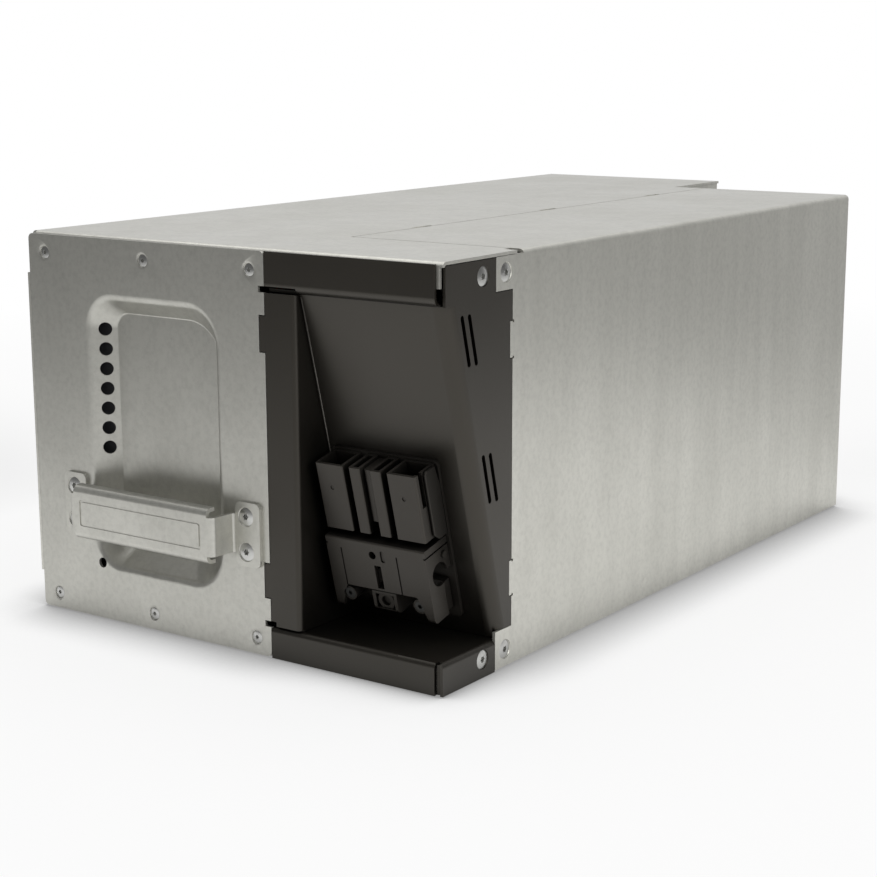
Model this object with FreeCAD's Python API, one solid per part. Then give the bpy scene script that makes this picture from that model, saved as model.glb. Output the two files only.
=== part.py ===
import FreeCAD, Part
import math
import os

# Battery cartridge of an uninterruptible power supply: a galvanised sheet case that slides into
# its bay, with a strap handle over a drawn finger pocket and, in a black coated recess at the
# front right corner, a four-way plug-in connector on a sloping wall.
# Millimetres, +Z up. Inside this file the case's front left bottom corner is at zero, the front
# faces -Y, and place() moves the finished solids so that the bounding box is centred on Z.

V = FreeCAD.Vector

# ---- case ----
case_width = 204.0
case_height = 157.0
case_depth = 398.0           # deep left part
notch_depth = 50.0           # rear notch in front of which the right part ends
recess_width = 79.0          # right part of the front, taken up by the recess
sheet = 1.2                  # all case sheets
bend_inner = 1.0             # inner radius of a press-brake bend
flat_bend = 0.5              # inner radius where a block stands close to the bend
lap_gap = 0.1                # between sheets that lie on each other
edge_gap = 0.3               # between sheet edges that meet
wall_lift = 1.0              # lower edge of the side walls above the floor
strip_depth = 52.5           # depth of the front strip of the top
strip_step_width = 6.0       # its outer end is shorter
strip_step_depth = 4.0
flange_height = 10.4         # up-turned flanges of the base
top_flange_end = 9.4         # what shows of it beside the lip
rear_flange = 12.0           # flanges of the rear panel
corner_relief = 3.4          # cleared at the corner where two bends meet
plate_margin = 0.8           # front plate inside the case's outline, above and below

# ---- tabs that close the seam on the top ----
seam_tab_first = 101.0
seam_tab_rear = 53.0         # last tab in front of the rear edge
seam_tab_count = 3
seam_tab_length = 13.0
seam_tab_reach = 5.0
seam_slot_width = 1.8

# ---- spot welds along the lower edge of the side walls ----
weld_first = 101.0
weld_rear = 57.0             # last weld in front of the right part's rear edge
weld_count = 5
weld_height = 8.8
weld_radius = 2.2
weld_depth = 0.25

# ---- front plate with drawn pocket ----
pocket_left = 33.0
pocket_right_margin = 25.0
pocket_bottom = 23.4
pocket_top_margin = 24.1
pocket_depth = 8.0
ramp_left = 8.5              # how far each drawn wall runs inwards; the left one holds the vents
ramp_top = 6.6
ramp_right = 3.5
ramp_bottom = 6.6
rim_corner = 13.0            # corner radius of the pocket at the front
floor_corner_left = 6.5      # corner radii of its floor
floor_corner_right = 17.0
rim_radius = 4.2             # soft draw radius at the front, on the visible side
floor_radius = 0.9           # tight draw radius round the floor, on the visible side
vent_diameter = 5.4
vent_pitch = 8.0
vent_count = 7
vent_drop = 13.3             # first vent below the pocket's upper rim
vent_share = 0.58            # how far down the ramp the vents sit
drain_diameter = 4.2
drain_reach = 2.8            # drain hole outside the pocket's corner arc
drain_angle = 50.7           # degrees below level, seen from that arc's centre
front_corner = 2.2           # rounded corners of the front plate
joint_tab_height = 13.5      # finger joints along the plate's right edge
joint_tab_reach = 2.8
joint_low = 30.9
joint_drop = 31.5            # upper finger joint below the top
joint_slot_height = 2.4
joint_slot_offset = 1.1      # relief slots beyond the recess's floor and top
side_tab_low = 15.7          # where the left wall comes flush with the plate
side_tab_drop = 16.8

# ---- small screws of the front plate ----
small_head = 5.0
small_dimple = 7.2
small_sink = 0.4             # head below the plate's face
small_shank = 3.0
small_length = 6.0
small_inset_left = 9.8
small_inset_right = 7.8
small_inset_low = 7.3
small_inset_top = 8.2

# ---- larger screws of the handle and the side ----
large_head = 7.4
large_shank = 4.0
large_length = 7.5
drive_depth = 1.2
drive_share = 0.42           # socket radius of a screw by its head's radius
head_rim = 0.25              # straight rim of a countersunk head
behind_gap = 0.3             # round the head's cone where it reaches into the sheet behind
side_column_front = 26.4
side_column_rear = 41.3
side_inset_low = 7.6
side_inset_top = 7.4

# ---- handle ----
handle_reach = 13.0
handle_sheet = 1.5
handle_shift = 3.0          # handle's centre beside the pocket's
handle_center_z = 47.9
handle_overhang = 18.3      # feet beyond the pocket's rim
foot_width = 14.4
foot_height = 25.2
foot_corner = 2.4
arm_height = 15.2
arm_lean = 0.8               # the arms lean inwards by this much
grip_height = 21.8
grip_lip = 4.8               # depth of the curled edges
grip_curl = 2.8              # outer radius of the curl
grip_relief = 0.3            # length of the relief between grip edge and arm
panel_sink = 0.35            # groove pressed round the grip's middle
panel_groove = 0.8
panel_height = 10.6
panel_margin = 3.2
panel_corner = 0.8
handle_bolt_spacing = 13.8
handle_bolt_inset_left = 5.3     # from the foot's outer edge
handle_bolt_inset_right = 6.9
handle_bend = 1.0

# ---- recess ----
top_lip_height = 16.0
recess_floor_top = 12.8
wall_top_gap = 0.5           # sloping wall's upper edge behind the flange of the top
wall_bottom_y = 36.0
lip_bend = 2.4
lip_end_gap = 2.6            # top lip ends in front of the side face
jamb_width = 14.2
jamb_bend = 0.8
side_flat = 3.3              # flat of the side face behind its bend, at the recess floor
jamb_foot_gap = 0.5          # under the jamb's flange
side_bend = 6.0              # outer radius of the soft bend into the side face
side_ear_y = 34.5            # front edge of the galvanised ears
ear_gap = 0.2
ear_top_height = 13.8
ear_low_height = 16.0
side_lip_start = 0.7         # front edge of the floor's side lip
lip_lift = 0.5               # lower edge of the floor's lips
side_joint_reach = 1.6
side_joint_height = 13.4
side_joint_low = 34.5
side_joint_drop = 32.3
slot_width = 2.0
slot_length = 19.5
slot_pitch = 4.4             # between the two slots of a pair
slot_offset = 8.6            # first slot behind the bend line
slot_drops = (13.3, 65.6)    # slot centres below the recess's top

# ---- connector, in the sloping wall's own frame: x across, t out of the wall, z up the wall ----
conn_inset = 4.5             # from the jamb to the housings
conn_width = 45.6
plate_sheet = 1.4
plate_bottom = 8.0
plate_over = 0.9             # plate beyond the housings' upper ends
plate_extra = 1.4            # plate wider than the housings, each side
plate_corner = 1.5
window_margin = 3.2
carrier_bottom = 12.0
carrier_height = 30.3
carrier_depth = 16.0
carrier_wall = 1.8
carrier_skirt = 10.4         # open lower part that shows the bosses and the latch
carrier_floor = 3.0          # thickness of its floor
leg_width = 6.6              # legs at its sides, measured where they leave the front wall
leg_foot = 2.0
lid_line = 2.6               # parting line round the sides, below the carrier's top
lid_groove = 0.7
boss_radius = 2.9
boss_spread = 16.2
boss_height = 6.2            # above the carrier's bottom edge
boss_reach = 15.2
boss_head = 4.4
key_radius = 1.6
key_slot_width = 3.0
key_slot_height = 9.7
key_drop = 5.2               # keyhole and the raised mark beside it, below the carrier's top
key_offset = 1.6
oval_width = 1.9
oval_height = 4.8
oval_offset = 3.1
moulding_line_left = 6.8
moulding_line_right = 13.2
side_notch_radius = 4.6
side_notch_drop = 12.6
side_relief = 7.0            # the right leg stands off the plate below the notch
pivot_radius = 1.4
pivot_reach = 0.8
latch_width = 11.2
latch_low = 0.9              # above the carrier's bottom edge
latch_height = 8.7
latch_reach = 15.0
latch_wall = 1.4
latch_boss = 3.7
shroud_lift = 2.6            # housings above the carrier
shroud_height = 26.7
shroud_depth = 14.0
shroud_wall = 1.3
shroud_corner = 0.7
power_width = 12.8
signal_width = 5.1
signal_spread = 4.75         # centre of a narrow housing from the connector's centre line
mouth_depth = 18.0
bridge_depth = 12.0          # web between the two narrow housings
bridge_lift = 4.6
clip_slot_front = 12.0       # slot in the right housing's side, in front of the clip
clip_slot_back = 9.7
clip_slot_height = 13.4
clip_gap = 0.2
clip_sheet = 1.1
blade_setback = 7.0          # contact blades end this far below the mouth
contact_clear = 0.05
lead_entry = 9.0             # lead entry above the housing's lower end

# ---- battery blocks ----
channel_width = 10.6         # between the two columns, for tabs and links
notch_clear = 0.7            # step wall beside the right column's inner face
wall_clear = 0.2             # blocks beside the base's flanges
blocks_left = 6
blocks_right = 4
block_gap = 0.3
block_edge = 1.5
pad_over_lap = 0.2           # base pad thicker than the rear panel's flange on the base
foam_thickness = 1.8
foam_clear = 0.3
foam_width = 30.0
tab_reach = 5.0
tab_width = 6.35
tab_sheet = 0.8
tab_inset = 14.0
right_tab_shift = 18.0
block_lid = 9.0
link_wire = 3.4
link_sleeve_x = 4.6
link_sleeve_y = 4.2
link_sleeve_z = 8.6
link_clear = 0.05
sleeve_gap = 0.3
bracket_height = 62.8
bracket_foot = 14.0
bracket_hole = 4.4

# ---- leads ----
lead_diameter = 5.0
signal_lead_diameter = 1.8
fuse_length = 38.0
fuse_radius = 5.1
fuse_inset = 10.9            # fuse centre beside the jamb
fuse_drop = 29.0
holder_wall = 1.6
holder_cap = 3.0
sensor_inset = 38.0
sensor_drop = 61.0

# ---- values that follow ----
short_depth = case_depth - notch_depth
seam_x = case_width - recess_width
recess_top = case_height - top_lip_height
bend_outer = bend_inner + sheet
inner_y = sheet + lap_gap                     # outer face of flanges behind the front
wall_top_y = inner_y + sheet + wall_top_gap
slope = (wall_bottom_y - wall_top_y) / (recess_top - recess_floor_top)
lean = math.atan(slope)
lean_degrees = math.degrees(lean)
plate_x0 = sheet + lap_gap
plate_x1 = seam_x - edge_gap
plate_z0 = plate_margin
plate_z1 = case_height - plate_margin
pocket_width = seam_x - pocket_right_margin - pocket_left
pocket_height = case_height - pocket_top_margin - pocket_bottom
top_flange_height = top_lip_height - sheet - lip_bend - edge_gap   # ends above the lip's bend
recess_back_y = wall_bottom_y + side_bend / math.cos(lean) + side_flat
vent_top = pocket_bottom + pocket_height - vent_drop
joint_high = case_height - joint_drop
joint_slot_low = recess_floor_top + joint_slot_offset
joint_slot_high = recess_top + joint_slot_offset
side_tab_high = case_height - side_tab_drop
small_columns = (small_inset_left, (small_inset_left + seam_x - small_inset_right) / 2,
                 seam_x - small_inset_right)
small_rows = (small_inset_low, case_height - small_inset_top)
side_rows = (side_inset_low, case_height - side_inset_top)
handle_span = pocket_width + 2 * handle_overhang
handle_center_x = pocket_left + pocket_width / 2 + handle_shift
jamb_x0 = seam_x - lap_gap
jamb_x1 = jamb_x0 + jamb_width
lip_end_x = case_width - lip_end_gap
side_joint_high = case_height - side_joint_drop
conn_center_x = jamb_x1 + conn_inset + conn_width / 2
shroud_bottom = carrier_bottom + carrier_height + shroud_lift
plate_height = shroud_bottom + shroud_height + plate_over - plate_bottom
window_bottom = shroud_bottom + window_margin
window_height = shroud_height - 2 * window_margin
rear_face = case_depth - sheet
block_rear = rear_face - block_gap
block_front = pocket_depth + sheet + block_gap
block_thickness = (block_rear - block_front) / blocks_left
right_rear = short_depth - sheet - block_gap
right_front = right_rear - blocks_right * block_thickness
pad_thickness = sheet + lap_gap + pad_over_lap
block_low = sheet + pad_thickness
block_height = case_height - sheet - foam_thickness - foam_clear - block_low
left_x0 = 2 * sheet + lap_gap + wall_clear
block_width = (case_width - 2 * left_x0 - channel_width) / 2
left_x1 = left_x0 + block_width
right_x1 = case_width - left_x0
right_x0 = right_x1 - block_width
rear_width = right_x0 + notch_clear
channel_lead_x = right_x0 - sleeve_gap - link_sleeve_x / 2 - 0.3
seam_tab_pitch = (short_depth - seam_tab_rear - seam_tab_first) / (seam_tab_count - 1)
weld_pitch = (short_depth - weld_rear - weld_first) / (weld_count - 1)


# ---------------------------------------------------------------- helpers

def box(x0, x1, y0, y1, z0, z1):
    """Block between two corners."""
    return Part.makeBox(x1 - x0, y1 - y0, z1 - z0, V(x0, y0, z0))


def rounded_wire(points, radii):
    """Closed wire through the points, each corner rounded by its radius (0 keeps it sharp)."""
    count = len(points)
    entries = []
    for i in range(count):
        before, here, after = points[i - 1], points[i], points[(i + 1) % count]
        radius = radii[i]
        to_before = (before - here).normalize()
        to_after = (after - here).normalize()
        if radius <= 0:
            entries.append((here, None, here))
            continue
        half = to_before.getAngle(to_after) / 2
        reach = radius / math.tan(half)
        middle = (to_before + to_after).normalize()
        center = here + middle * (radius / math.sin(half))
        entries.append((here + to_before * reach, center - middle * radius, here + to_after * reach))
    edges = []
    for i in range(count):
        start, middle, end = entries[i]
        if middle is not None:
            edges.append(Part.Arc(start, middle, end).toShape())
        following = entries[(i + 1) % count][0]
        if end.distanceToPoint(following) > 1e-6:
            edges.append(Part.LineSegment(end, following).toShape())
    return Part.Wire(edges)


def extrude(points, radii, direction):
    """Solid from a closed rounded outline, pushed along a direction."""
    return Part.Face(rounded_wire(points, radii)).extrude(direction)


def plain_extrude(points, direction):
    return extrude(points, [0] * len(points), direction)


def offset_path(path, side, thickness, turn_axis):
    """Points of an open path moved sideways by the sheet's thickness, with mitred corners."""
    moved = []
    for i, point in enumerate(path):
        normals = []
        if i > 0:
            normals.append(turn_axis.cross((point - path[i - 1]).normalize()) * side)
        if i < len(path) - 1:
            normals.append(turn_axis.cross((path[i + 1] - point).normalize()) * side)
        if len(normals) == 1:
            moved.append(point + normals[0] * thickness)
        else:
            total = normals[0] + normals[1]
            moved.append(point + total * (2 * thickness / total.Length ** 2))
    return moved


def bent_sheet(path, side, thickness, inner_radius, direction):
    """Folded sheet: an open path, offset to one side, rounded at every bend and pushed along."""
    axis = V(direction).normalize()
    other = offset_path(path, side, thickness, axis)
    near, far = [0.0], [0.0]
    for i in range(1, len(path) - 1):
        turn = axis.dot((path[i] - path[i - 1]).cross(path[i + 1] - path[i]))
        outside = turn * side > 0
        near.append(inner_radius if not outside else inner_radius + thickness)
        far.append(inner_radius + thickness if not outside else inner_radius)
    # the side that the sheet is offset to is the inner side of a bend that turns that way
    near, far = near + [0.0], far + [0.0]
    return extrude(path + other[::-1], near + far[::-1], direction)


def cylinder(center, radius, height, axis):
    return Part.makeCylinder(radius, height, center, axis)


def rounded_slab(x0, x1, z0, z1, radius, y0, y1):
    """Plate in the XZ plane with four rounded corners."""
    points = [V(x0, y0, z0), V(x1, y0, z0), V(x1, y0, z1), V(x0, y0, z1)]
    return extrude(points, [radius] * 4, V(0, y1 - y0, 0))


def fuse_all(shapes):
    """One solid out of several that touch or overlap."""
    result = shapes[0]
    if len(shapes) > 1:
        result = result.multiFuse(shapes[1:])
    return result.removeSplitter()


def cut_all(shape, tools):
    return shape.cut(Part.makeCompound(tools))


def countersunk_screw(head_radius, shank_radius, length):
    """Countersunk screw with its head's face at zero and its shank towards +Z."""
    head_height = head_radius - shank_radius
    drive_radius = drive_share * head_radius
    rim = head_rim
    points = [V(0, 0, 0), V(head_radius, 0, 0), V(head_radius, 0, rim),
              V(shank_radius, 0, head_height + rim), V(shank_radius, 0, length - 0.5),
              V(shank_radius - 0.5, 0, length), V(0, 0, length)]
    body = Part.Face(Part.makePolygon(points + [points[0]])).revolve(V(0, 0, 0), V(0, 0, 1), 360)
    flutes = []
    for turn in range(3):
        arm = Part.makeBox(2 * drive_radius, 0.62 * drive_radius, drive_depth,
                           V(-drive_radius, -0.31 * drive_radius, 0))
        arm.rotate(V(0, 0, 0), V(0, 0, 1), 60 * turn)
        flutes.append(arm)
    return cut_all(body, flutes)


def countersink(head_radius, shank_radius, depth, clearance):
    """Tool that seats the screw above, a named clearance larger all round."""
    head, shank = head_radius + clearance, shank_radius + clearance
    rim = head_rim
    points = [V(0, 0, -1), V(head, 0, -1), V(head, 0, rim), V(shank, 0, head - shank + rim),
              V(shank, 0, depth), V(0, 0, depth)]
    return Part.Face(Part.makePolygon(points + [points[0]])).revolve(V(0, 0, 0), V(0, 0, 1), 360)


def behind_radius(head_radius, shank_radius, depth):
    """Hole radius in a sheet behind a screw's seat, where its cone is still this deep below its face."""
    cone = head_radius + head_rim - depth
    return max(cone, shank_radius) + behind_gap


def small_through():
    return behind_radius(small_head / 2, small_shank / 2, sheet - small_sink)


def large_through(seat_sheet):
    return behind_radius(large_head / 2, large_shank / 2, seat_sheet)


def stood(shape, position, axis):
    """Copy of a shape made along +Z, turned to an axis and moved."""
    copy = shape.copy()
    copy.Placement = FreeCAD.Placement(V(position), FreeCAD.Rotation(V(0, 0, 1), V(axis)))
    return copy


def on_wall(shape):
    """Copy of a shape made in the sloping wall's frame (x, -t, z), put where the wall is."""
    copy = shape.copy()
    copy.rotate(V(0, 0, 0), V(1, 0, 0), lean_degrees)
    copy.translate(V(0, wall_bottom_y, recess_floor_top))
    return copy


def wall_point(x, t, z):
    """Point of the sloping wall's frame in case coordinates."""
    return V(x, wall_bottom_y - t * math.cos(lean) - z * math.sin(lean),
             recess_floor_top - t * math.sin(lean) + z * math.cos(lean))


def lead(points, diameter, radius_share=0.45):
    """Round lead: straight runs joined by tangent arcs as large as its runs allow."""
    radius = diameter / 2
    count = len(points)
    cuts = [0.0] * count
    arcs = []
    for i in range(1, count - 1):
        into = (points[i] - points[i - 1])
        out = (points[i + 1] - points[i])
        reach = radius_share * min(into.Length, out.Length)
        cuts[i] = reach
        turn = into.getAngle(out)
        bend = reach / math.tan(turn / 2)
        start = points[i] - V(into).normalize() * reach
        axis = V(into).cross(out).normalize()
        to_center = axis.cross(V(into).normalize())
        center = start + to_center * bend
        arcs.append((start, center, axis, math.degrees(turn), V(into).normalize()))
    solids = []
    for i in range(count - 1):
        way = (points[i + 1] - points[i])
        run = V(way).normalize()
        start = points[i] + run * cuts[i]
        length = way.Length - cuts[i] - cuts[i + 1]
        solids.append(cylinder(start, radius, length, run))
    for start, center, axis, angle, run in arcs:
        circle = Part.Face(Part.Wire(Part.Circle(start, run, radius).toShape()))
        solids.append(circle.revolve(center, axis, angle))
    return fuse_all(solids)


def ring(center, axis, inner, outer, width):
    start = center - V(axis).normalize() * (width / 2)
    return cylinder(start, outer, width, axis).cut(cylinder(start, inner, width, axis))


# ---------------------------------------------------------------- front

def drawn_outline(depth, back):
    """Outline of the drawn pocket at a depth; back is 0 on the visible side and 1 behind the sheet.

    Each wall leans by its own run, so the sheet behind it lies outside by its thickness over the
    sine of that wall's angle. The corner radii change evenly from the rim to the floor."""
    share = depth / pocket_depth
    insets, grown = [], []
    for run in (ramp_left, ramp_bottom, ramp_right, ramp_top):
        outside = back * sheet / math.sin(math.atan2(pocket_depth, run))
        insets.append(run * share - outside)
        grown.append(outside)
    x0, z0 = pocket_left + insets[0], pocket_bottom + insets[1]
    x1, z1 = pocket_left + pocket_width - insets[2], pocket_bottom + pocket_height - insets[3]
    left = rim_corner + (floor_corner_left - rim_corner) * share + grown[0]
    right = rim_corner + (floor_corner_right - rim_corner) * share + grown[2]
    points = [V(x0, depth, z0), V(x1, depth, z0), V(x1, depth, z1), V(x0, depth, z1)]
    return rounded_wire(points, [left, right, right, left])


def drawn_form(back):
    """Solid that fills the pocket from the front, with the draw radii at its rim and its floor."""
    level, floor = back * sheet, pocket_depth + back * sheet
    plug = Part.makeLoft([drawn_outline(level, back), drawn_outline(floor, back)], True, True)
    plug = plug.makeFillet(floor_radius + back * sheet, edges_at_depth(plug, floor))
    reach = 2.5 * rim_radius
    slab = box(pocket_left - reach, pocket_left + pocket_width + reach, level - sheet, level,
               pocket_bottom - reach, pocket_bottom + pocket_height + reach)
    form = slab.fuse(plug)
    inner = [edge for edge in edges_at_depth(form, level)
             if abs(edge.CenterOfMass.x - pocket_left - pocket_width / 2) < pocket_width / 2 + 2 * sheet
             and abs(edge.CenterOfMass.z - pocket_bottom - pocket_height / 2) < pocket_height / 2 + 2 * sheet]
    return form.makeFillet(rim_radius - back * sheet, inner)


def edges_at_depth(shape, depth):
    """Edges that lie in one plane parallel to the front."""
    return [edge for edge in shape.Edges
            if abs(edge.BoundBox.YMin - depth) < 1e-4 and abs(edge.BoundBox.YMax - depth) < 1e-4]


def front_plate():
    """Flat plate with finger joints, drawn pocket, vents and dimpled screw seats."""
    plate = rounded_slab(plate_x0, plate_x1, plate_z0, plate_z1, front_corner, 0, sheet)
    plate = plate.fuse(drawn_form(1)).cut(drawn_form(0))
    tools = []
    for z in (joint_low, joint_high):
        half = joint_tab_height / 2 + edge_gap
        tools.append(box(plate_x1 - joint_tab_reach, case_width, -1, 2 * sheet, z - half, z + half))
    for z in (joint_slot_low, joint_slot_high):
        half = joint_slot_height / 2
        tools.append(box(plate_x1 - joint_tab_reach, case_width, -1, 2 * sheet, z - half, z + half))
    tools.append(plate_vents())
    for x in small_columns:
        for z in small_rows:
            seat = countersink(small_head / 2, small_shank / 2, 3 * sheet, lap_gap)
            tools.append(stood(seat, V(x, small_sink, z), V(0, 1, 0)))
            flare = Part.makeCone(small_dimple / 2, small_head / 2, small_sink)
            tools.append(stood(flare, V(x, 0, z), V(0, 1, 0)))
    for x, z in handle_bolts():
        tools.append(cylinder(V(x, -1, z), large_through(handle_sheet), 3 * sheet, V(0, 1, 0)))
    return cut_all(plate, tools).removeSplitter()


def plate_vents():
    """Row of round vents square to the left wall, and the drain hole at its lower corner."""
    angle = math.atan2(pocket_depth, ramp_left)
    normal = V(math.sin(angle), -math.cos(angle), 0)
    x = pocket_left + vent_share * ramp_left
    y = vent_share * pocket_depth
    tools = []
    for i in range(vent_count):
        start = V(x, y, vent_top - i * vent_pitch) + normal * 3.0
        tools.append(cylinder(start, vent_diameter / 2, 7.0, normal * -1))
    corner = V(pocket_left + rim_corner, -1, pocket_bottom + rim_corner)
    turn = math.radians(drain_angle)
    spot = corner + V(-math.cos(turn), 0, -math.sin(turn)) * (rim_corner + drain_reach)
    tools.append(cylinder(spot, drain_diameter / 2, 4 * sheet, V(0, 1, 0)))
    return Part.makeCompound(tools)


def front_screws():
    screw = countersunk_screw(small_head / 2, small_shank / 2, small_length)
    return [stood(screw, V(x, small_sink, z), V(0, 1, 0)) for x in small_columns for z in small_rows]


def handle_edges():
    """Outer edges of the two feet."""
    return handle_center_x - handle_span / 2, handle_center_x + handle_span / 2


def handle_bolts():
    left, right = handle_edges()
    columns = (left + handle_bolt_inset_left, right - handle_bolt_inset_right)
    rows = (handle_center_z - handle_bolt_spacing / 2, handle_center_z + handle_bolt_spacing / 2)
    return [(x, z) for x in columns for z in rows]


def handle():
    """Strap handle: two feet, two leaning arms and a channel grip with curled edges."""
    left, right = handle_edges()
    low = handle_center_z - arm_height / 2
    arm_left, arm_right = left + foot_width, right - foot_width
    grip_left, grip_right = arm_left + arm_lean, arm_right - arm_lean
    path = [V(left, 0, low), V(arm_left, 0, low), V(grip_left, -handle_reach + handle_sheet, low),
            V(grip_right, -handle_reach + handle_sheet, low), V(arm_right, 0, low), V(right, 0, low)]
    strap = bent_sheet(path, -1, handle_sheet, handle_bend, V(0, 0, arm_height))
    pieces = [strap]
    foot_low = handle_center_z - foot_height / 2
    foot_high = handle_center_z + foot_height / 2
    flat = foot_width - handle_bend - handle_sheet
    for x0, x1 in ((left, left + flat), (right - flat, right)):
        pieces.append(rounded_slab(x0, x1, foot_low, foot_high, foot_corner, -handle_sheet, 0))
    grip_low = handle_center_z - grip_height / 2
    grip_high = handle_center_z + grip_height / 2
    back = -handle_reach + grip_lip
    inner = grip_left + handle_bend + grip_relief
    outer = grip_right - handle_bend - grip_relief
    channel = [V(inner, back, grip_low), V(inner, -handle_reach, grip_low),
               V(inner, -handle_reach, grip_high), V(inner, back, grip_high)]
    curl = bent_sheet(channel, -1, handle_sheet, grip_curl - handle_sheet, V(outer - inner, 0, 0))
    pieces.append(curl)
    shape = fuse_all(pieces)
    frames = []
    for grown in (0, panel_groove):
        half = panel_height / 2 - grown
        frames.append(rounded_slab(inner + panel_margin + grown, outer - panel_margin - grown,
                                   handle_center_z - half, handle_center_z + half, panel_corner,
                                   -handle_reach - 1, -handle_reach + panel_sink))
    tools = [frames[0].cut(frames[1])]
    for x, z in handle_bolts():
        seat = countersink(large_head / 2, large_shank / 2, 3 * handle_sheet, lap_gap)
        tools.append(stood(seat, V(x, -handle_sheet, z), V(0, 1, 0)))
    return cut_all(shape, tools)


def handle_screws():
    screw = countersunk_screw(large_head / 2, large_shank / 2, large_length)
    return [stood(screw, V(x, -handle_sheet, z), V(0, 1, 0)) for x, z in handle_bolts()]


# ---------------------------------------------------------------- galvanised shells

def weld_marks(x, facing, last_y):
    """Shallow round spot-weld marks along the lower edge of a side wall."""
    ball_radius = (weld_radius ** 2 + weld_depth ** 2) / (2 * weld_depth)
    marks = []
    for i in range(weld_count):
        y = weld_first + i * weld_pitch
        if y < last_y:
            center = V(x + facing * (ball_radius - weld_depth), y, weld_height)
            marks.append(Part.makeSphere(ball_radius, center))
    return marks


def left_shell():
    """Left side wall and left part of the top in one sheet, with the front strip and its flange."""
    top = case_height
    edge = seam_x - edge_gap
    wall_path = [V(0, 0, wall_lift), V(0, 0, top), V(edge, 0, top)]
    start = inner_y + bend_outer
    main = bent_sheet(wall_path, 1, sheet, bend_inner, V(0, case_depth - start, 0))
    main.translate(V(0, start, 0))
    front_wall = box(0, sheet, inner_y, start, wall_lift, top - corner_relief)
    tab = box(0, sheet, 0, inner_y, side_tab_low, side_tab_high)
    flange_path = [V(0, inner_y, top - top_flange_height), V(0, inner_y, top), V(0, strip_depth, top)]
    strip = bent_sheet(flange_path, -1, sheet, bend_inner, V(case_width - corner_relief, 0, 0))
    strip.translate(V(corner_relief, 0, 0))
    shape = fuse_all([main, front_wall, tab, strip])
    tools = [
        box(rear_width, case_width, short_depth, case_depth + 1, 1, top + 1),
        box(case_width - strip_step_width, case_width + 1, strip_depth - strip_step_depth,
            strip_depth + 1, top - 2 * sheet, top + 1),
        box(lip_end_x - 1.0, case_width + 1, 0, inner_y + bend_outer, top - top_flange_height - 1,
            top - top_flange_end),
    ]
    for i in range(seam_tab_count):
        y = seam_tab_first + i * seam_tab_pitch
        tools.append(box(edge - seam_slot_width, edge + 1, y - seam_tab_length / 2,
                         y + seam_tab_length / 2, top - 2 * sheet, top + 1))
    tools += weld_marks(0, -1, case_depth)
    tools += [cylinder(V(x, 1, small_rows[1]), small_through(), 3 * sheet, V(0, 1, 0))
              for x in small_columns]
    return cut_all(shape, tools)


def right_shell():
    """Right side wall and right part of the top, with ears and finger tabs at its front edge."""
    top = case_height
    start = strip_depth + 2 * edge_gap
    edge = seam_x + edge_gap
    path = [V(case_width, 0, wall_lift), V(case_width, 0, top), V(edge, 0, top)]
    main = bent_sheet(path, -1, sheet, bend_inner, V(0, short_depth - start, 0))
    main.translate(V(0, start, 0))
    x0 = case_width - sheet
    under_strip = top - sheet - ear_gap
    front_y = recess_back_y + ear_gap
    pieces = [main, box(x0, case_width, front_y, start, wall_lift, under_strip),
              box(x0, case_width, side_ear_y + ear_gap, front_y, top - ear_top_height, under_strip),
              box(x0, case_width, side_ear_y + ear_gap, front_y, wall_lift, ear_low_height - ear_gap)]
    for z in (side_joint_low, side_joint_high):
        half = side_joint_height / 2
        pieces.append(box(x0, case_width, front_y - side_joint_reach, front_y, z - half, z + half))
    for i in range(seam_tab_count):
        y = seam_tab_first + i * seam_tab_pitch
        under = top - sheet - lap_gap
        tab_path = [V(edge + 2.0, y, top), V(edge - 0.1, y, top), V(edge - 1.5, y, under),
                    V(edge - seam_tab_reach - 2.0, y, under)]
        tab = bent_sheet(tab_path, -1, sheet, 0.2, V(0, seam_tab_length - 1.0, 0))
        tab.translate(V(0, -(seam_tab_length - 1.0) / 2, 0))
        pieces.append(tab)
    shape = fuse_all(pieces)
    tools = weld_marks(case_width, 1, short_depth)
    for z in side_rows:
        seat = countersink(large_head / 2, large_shank / 2, 3 * sheet, lap_gap)
        tools.append(stood(seat, V(case_width, side_column_rear, z), V(-1, 0, 0)))
    for z in (side_joint_low, side_joint_high):
        for edge_z in (z - side_joint_height / 2, z + side_joint_height / 2):
            tools.append(box(x0 - 1, case_width + 1, front_y, front_y + 1.0, edge_z - 0.5, edge_z + 0.5))
    return cut_all(shape, tools)


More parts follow.
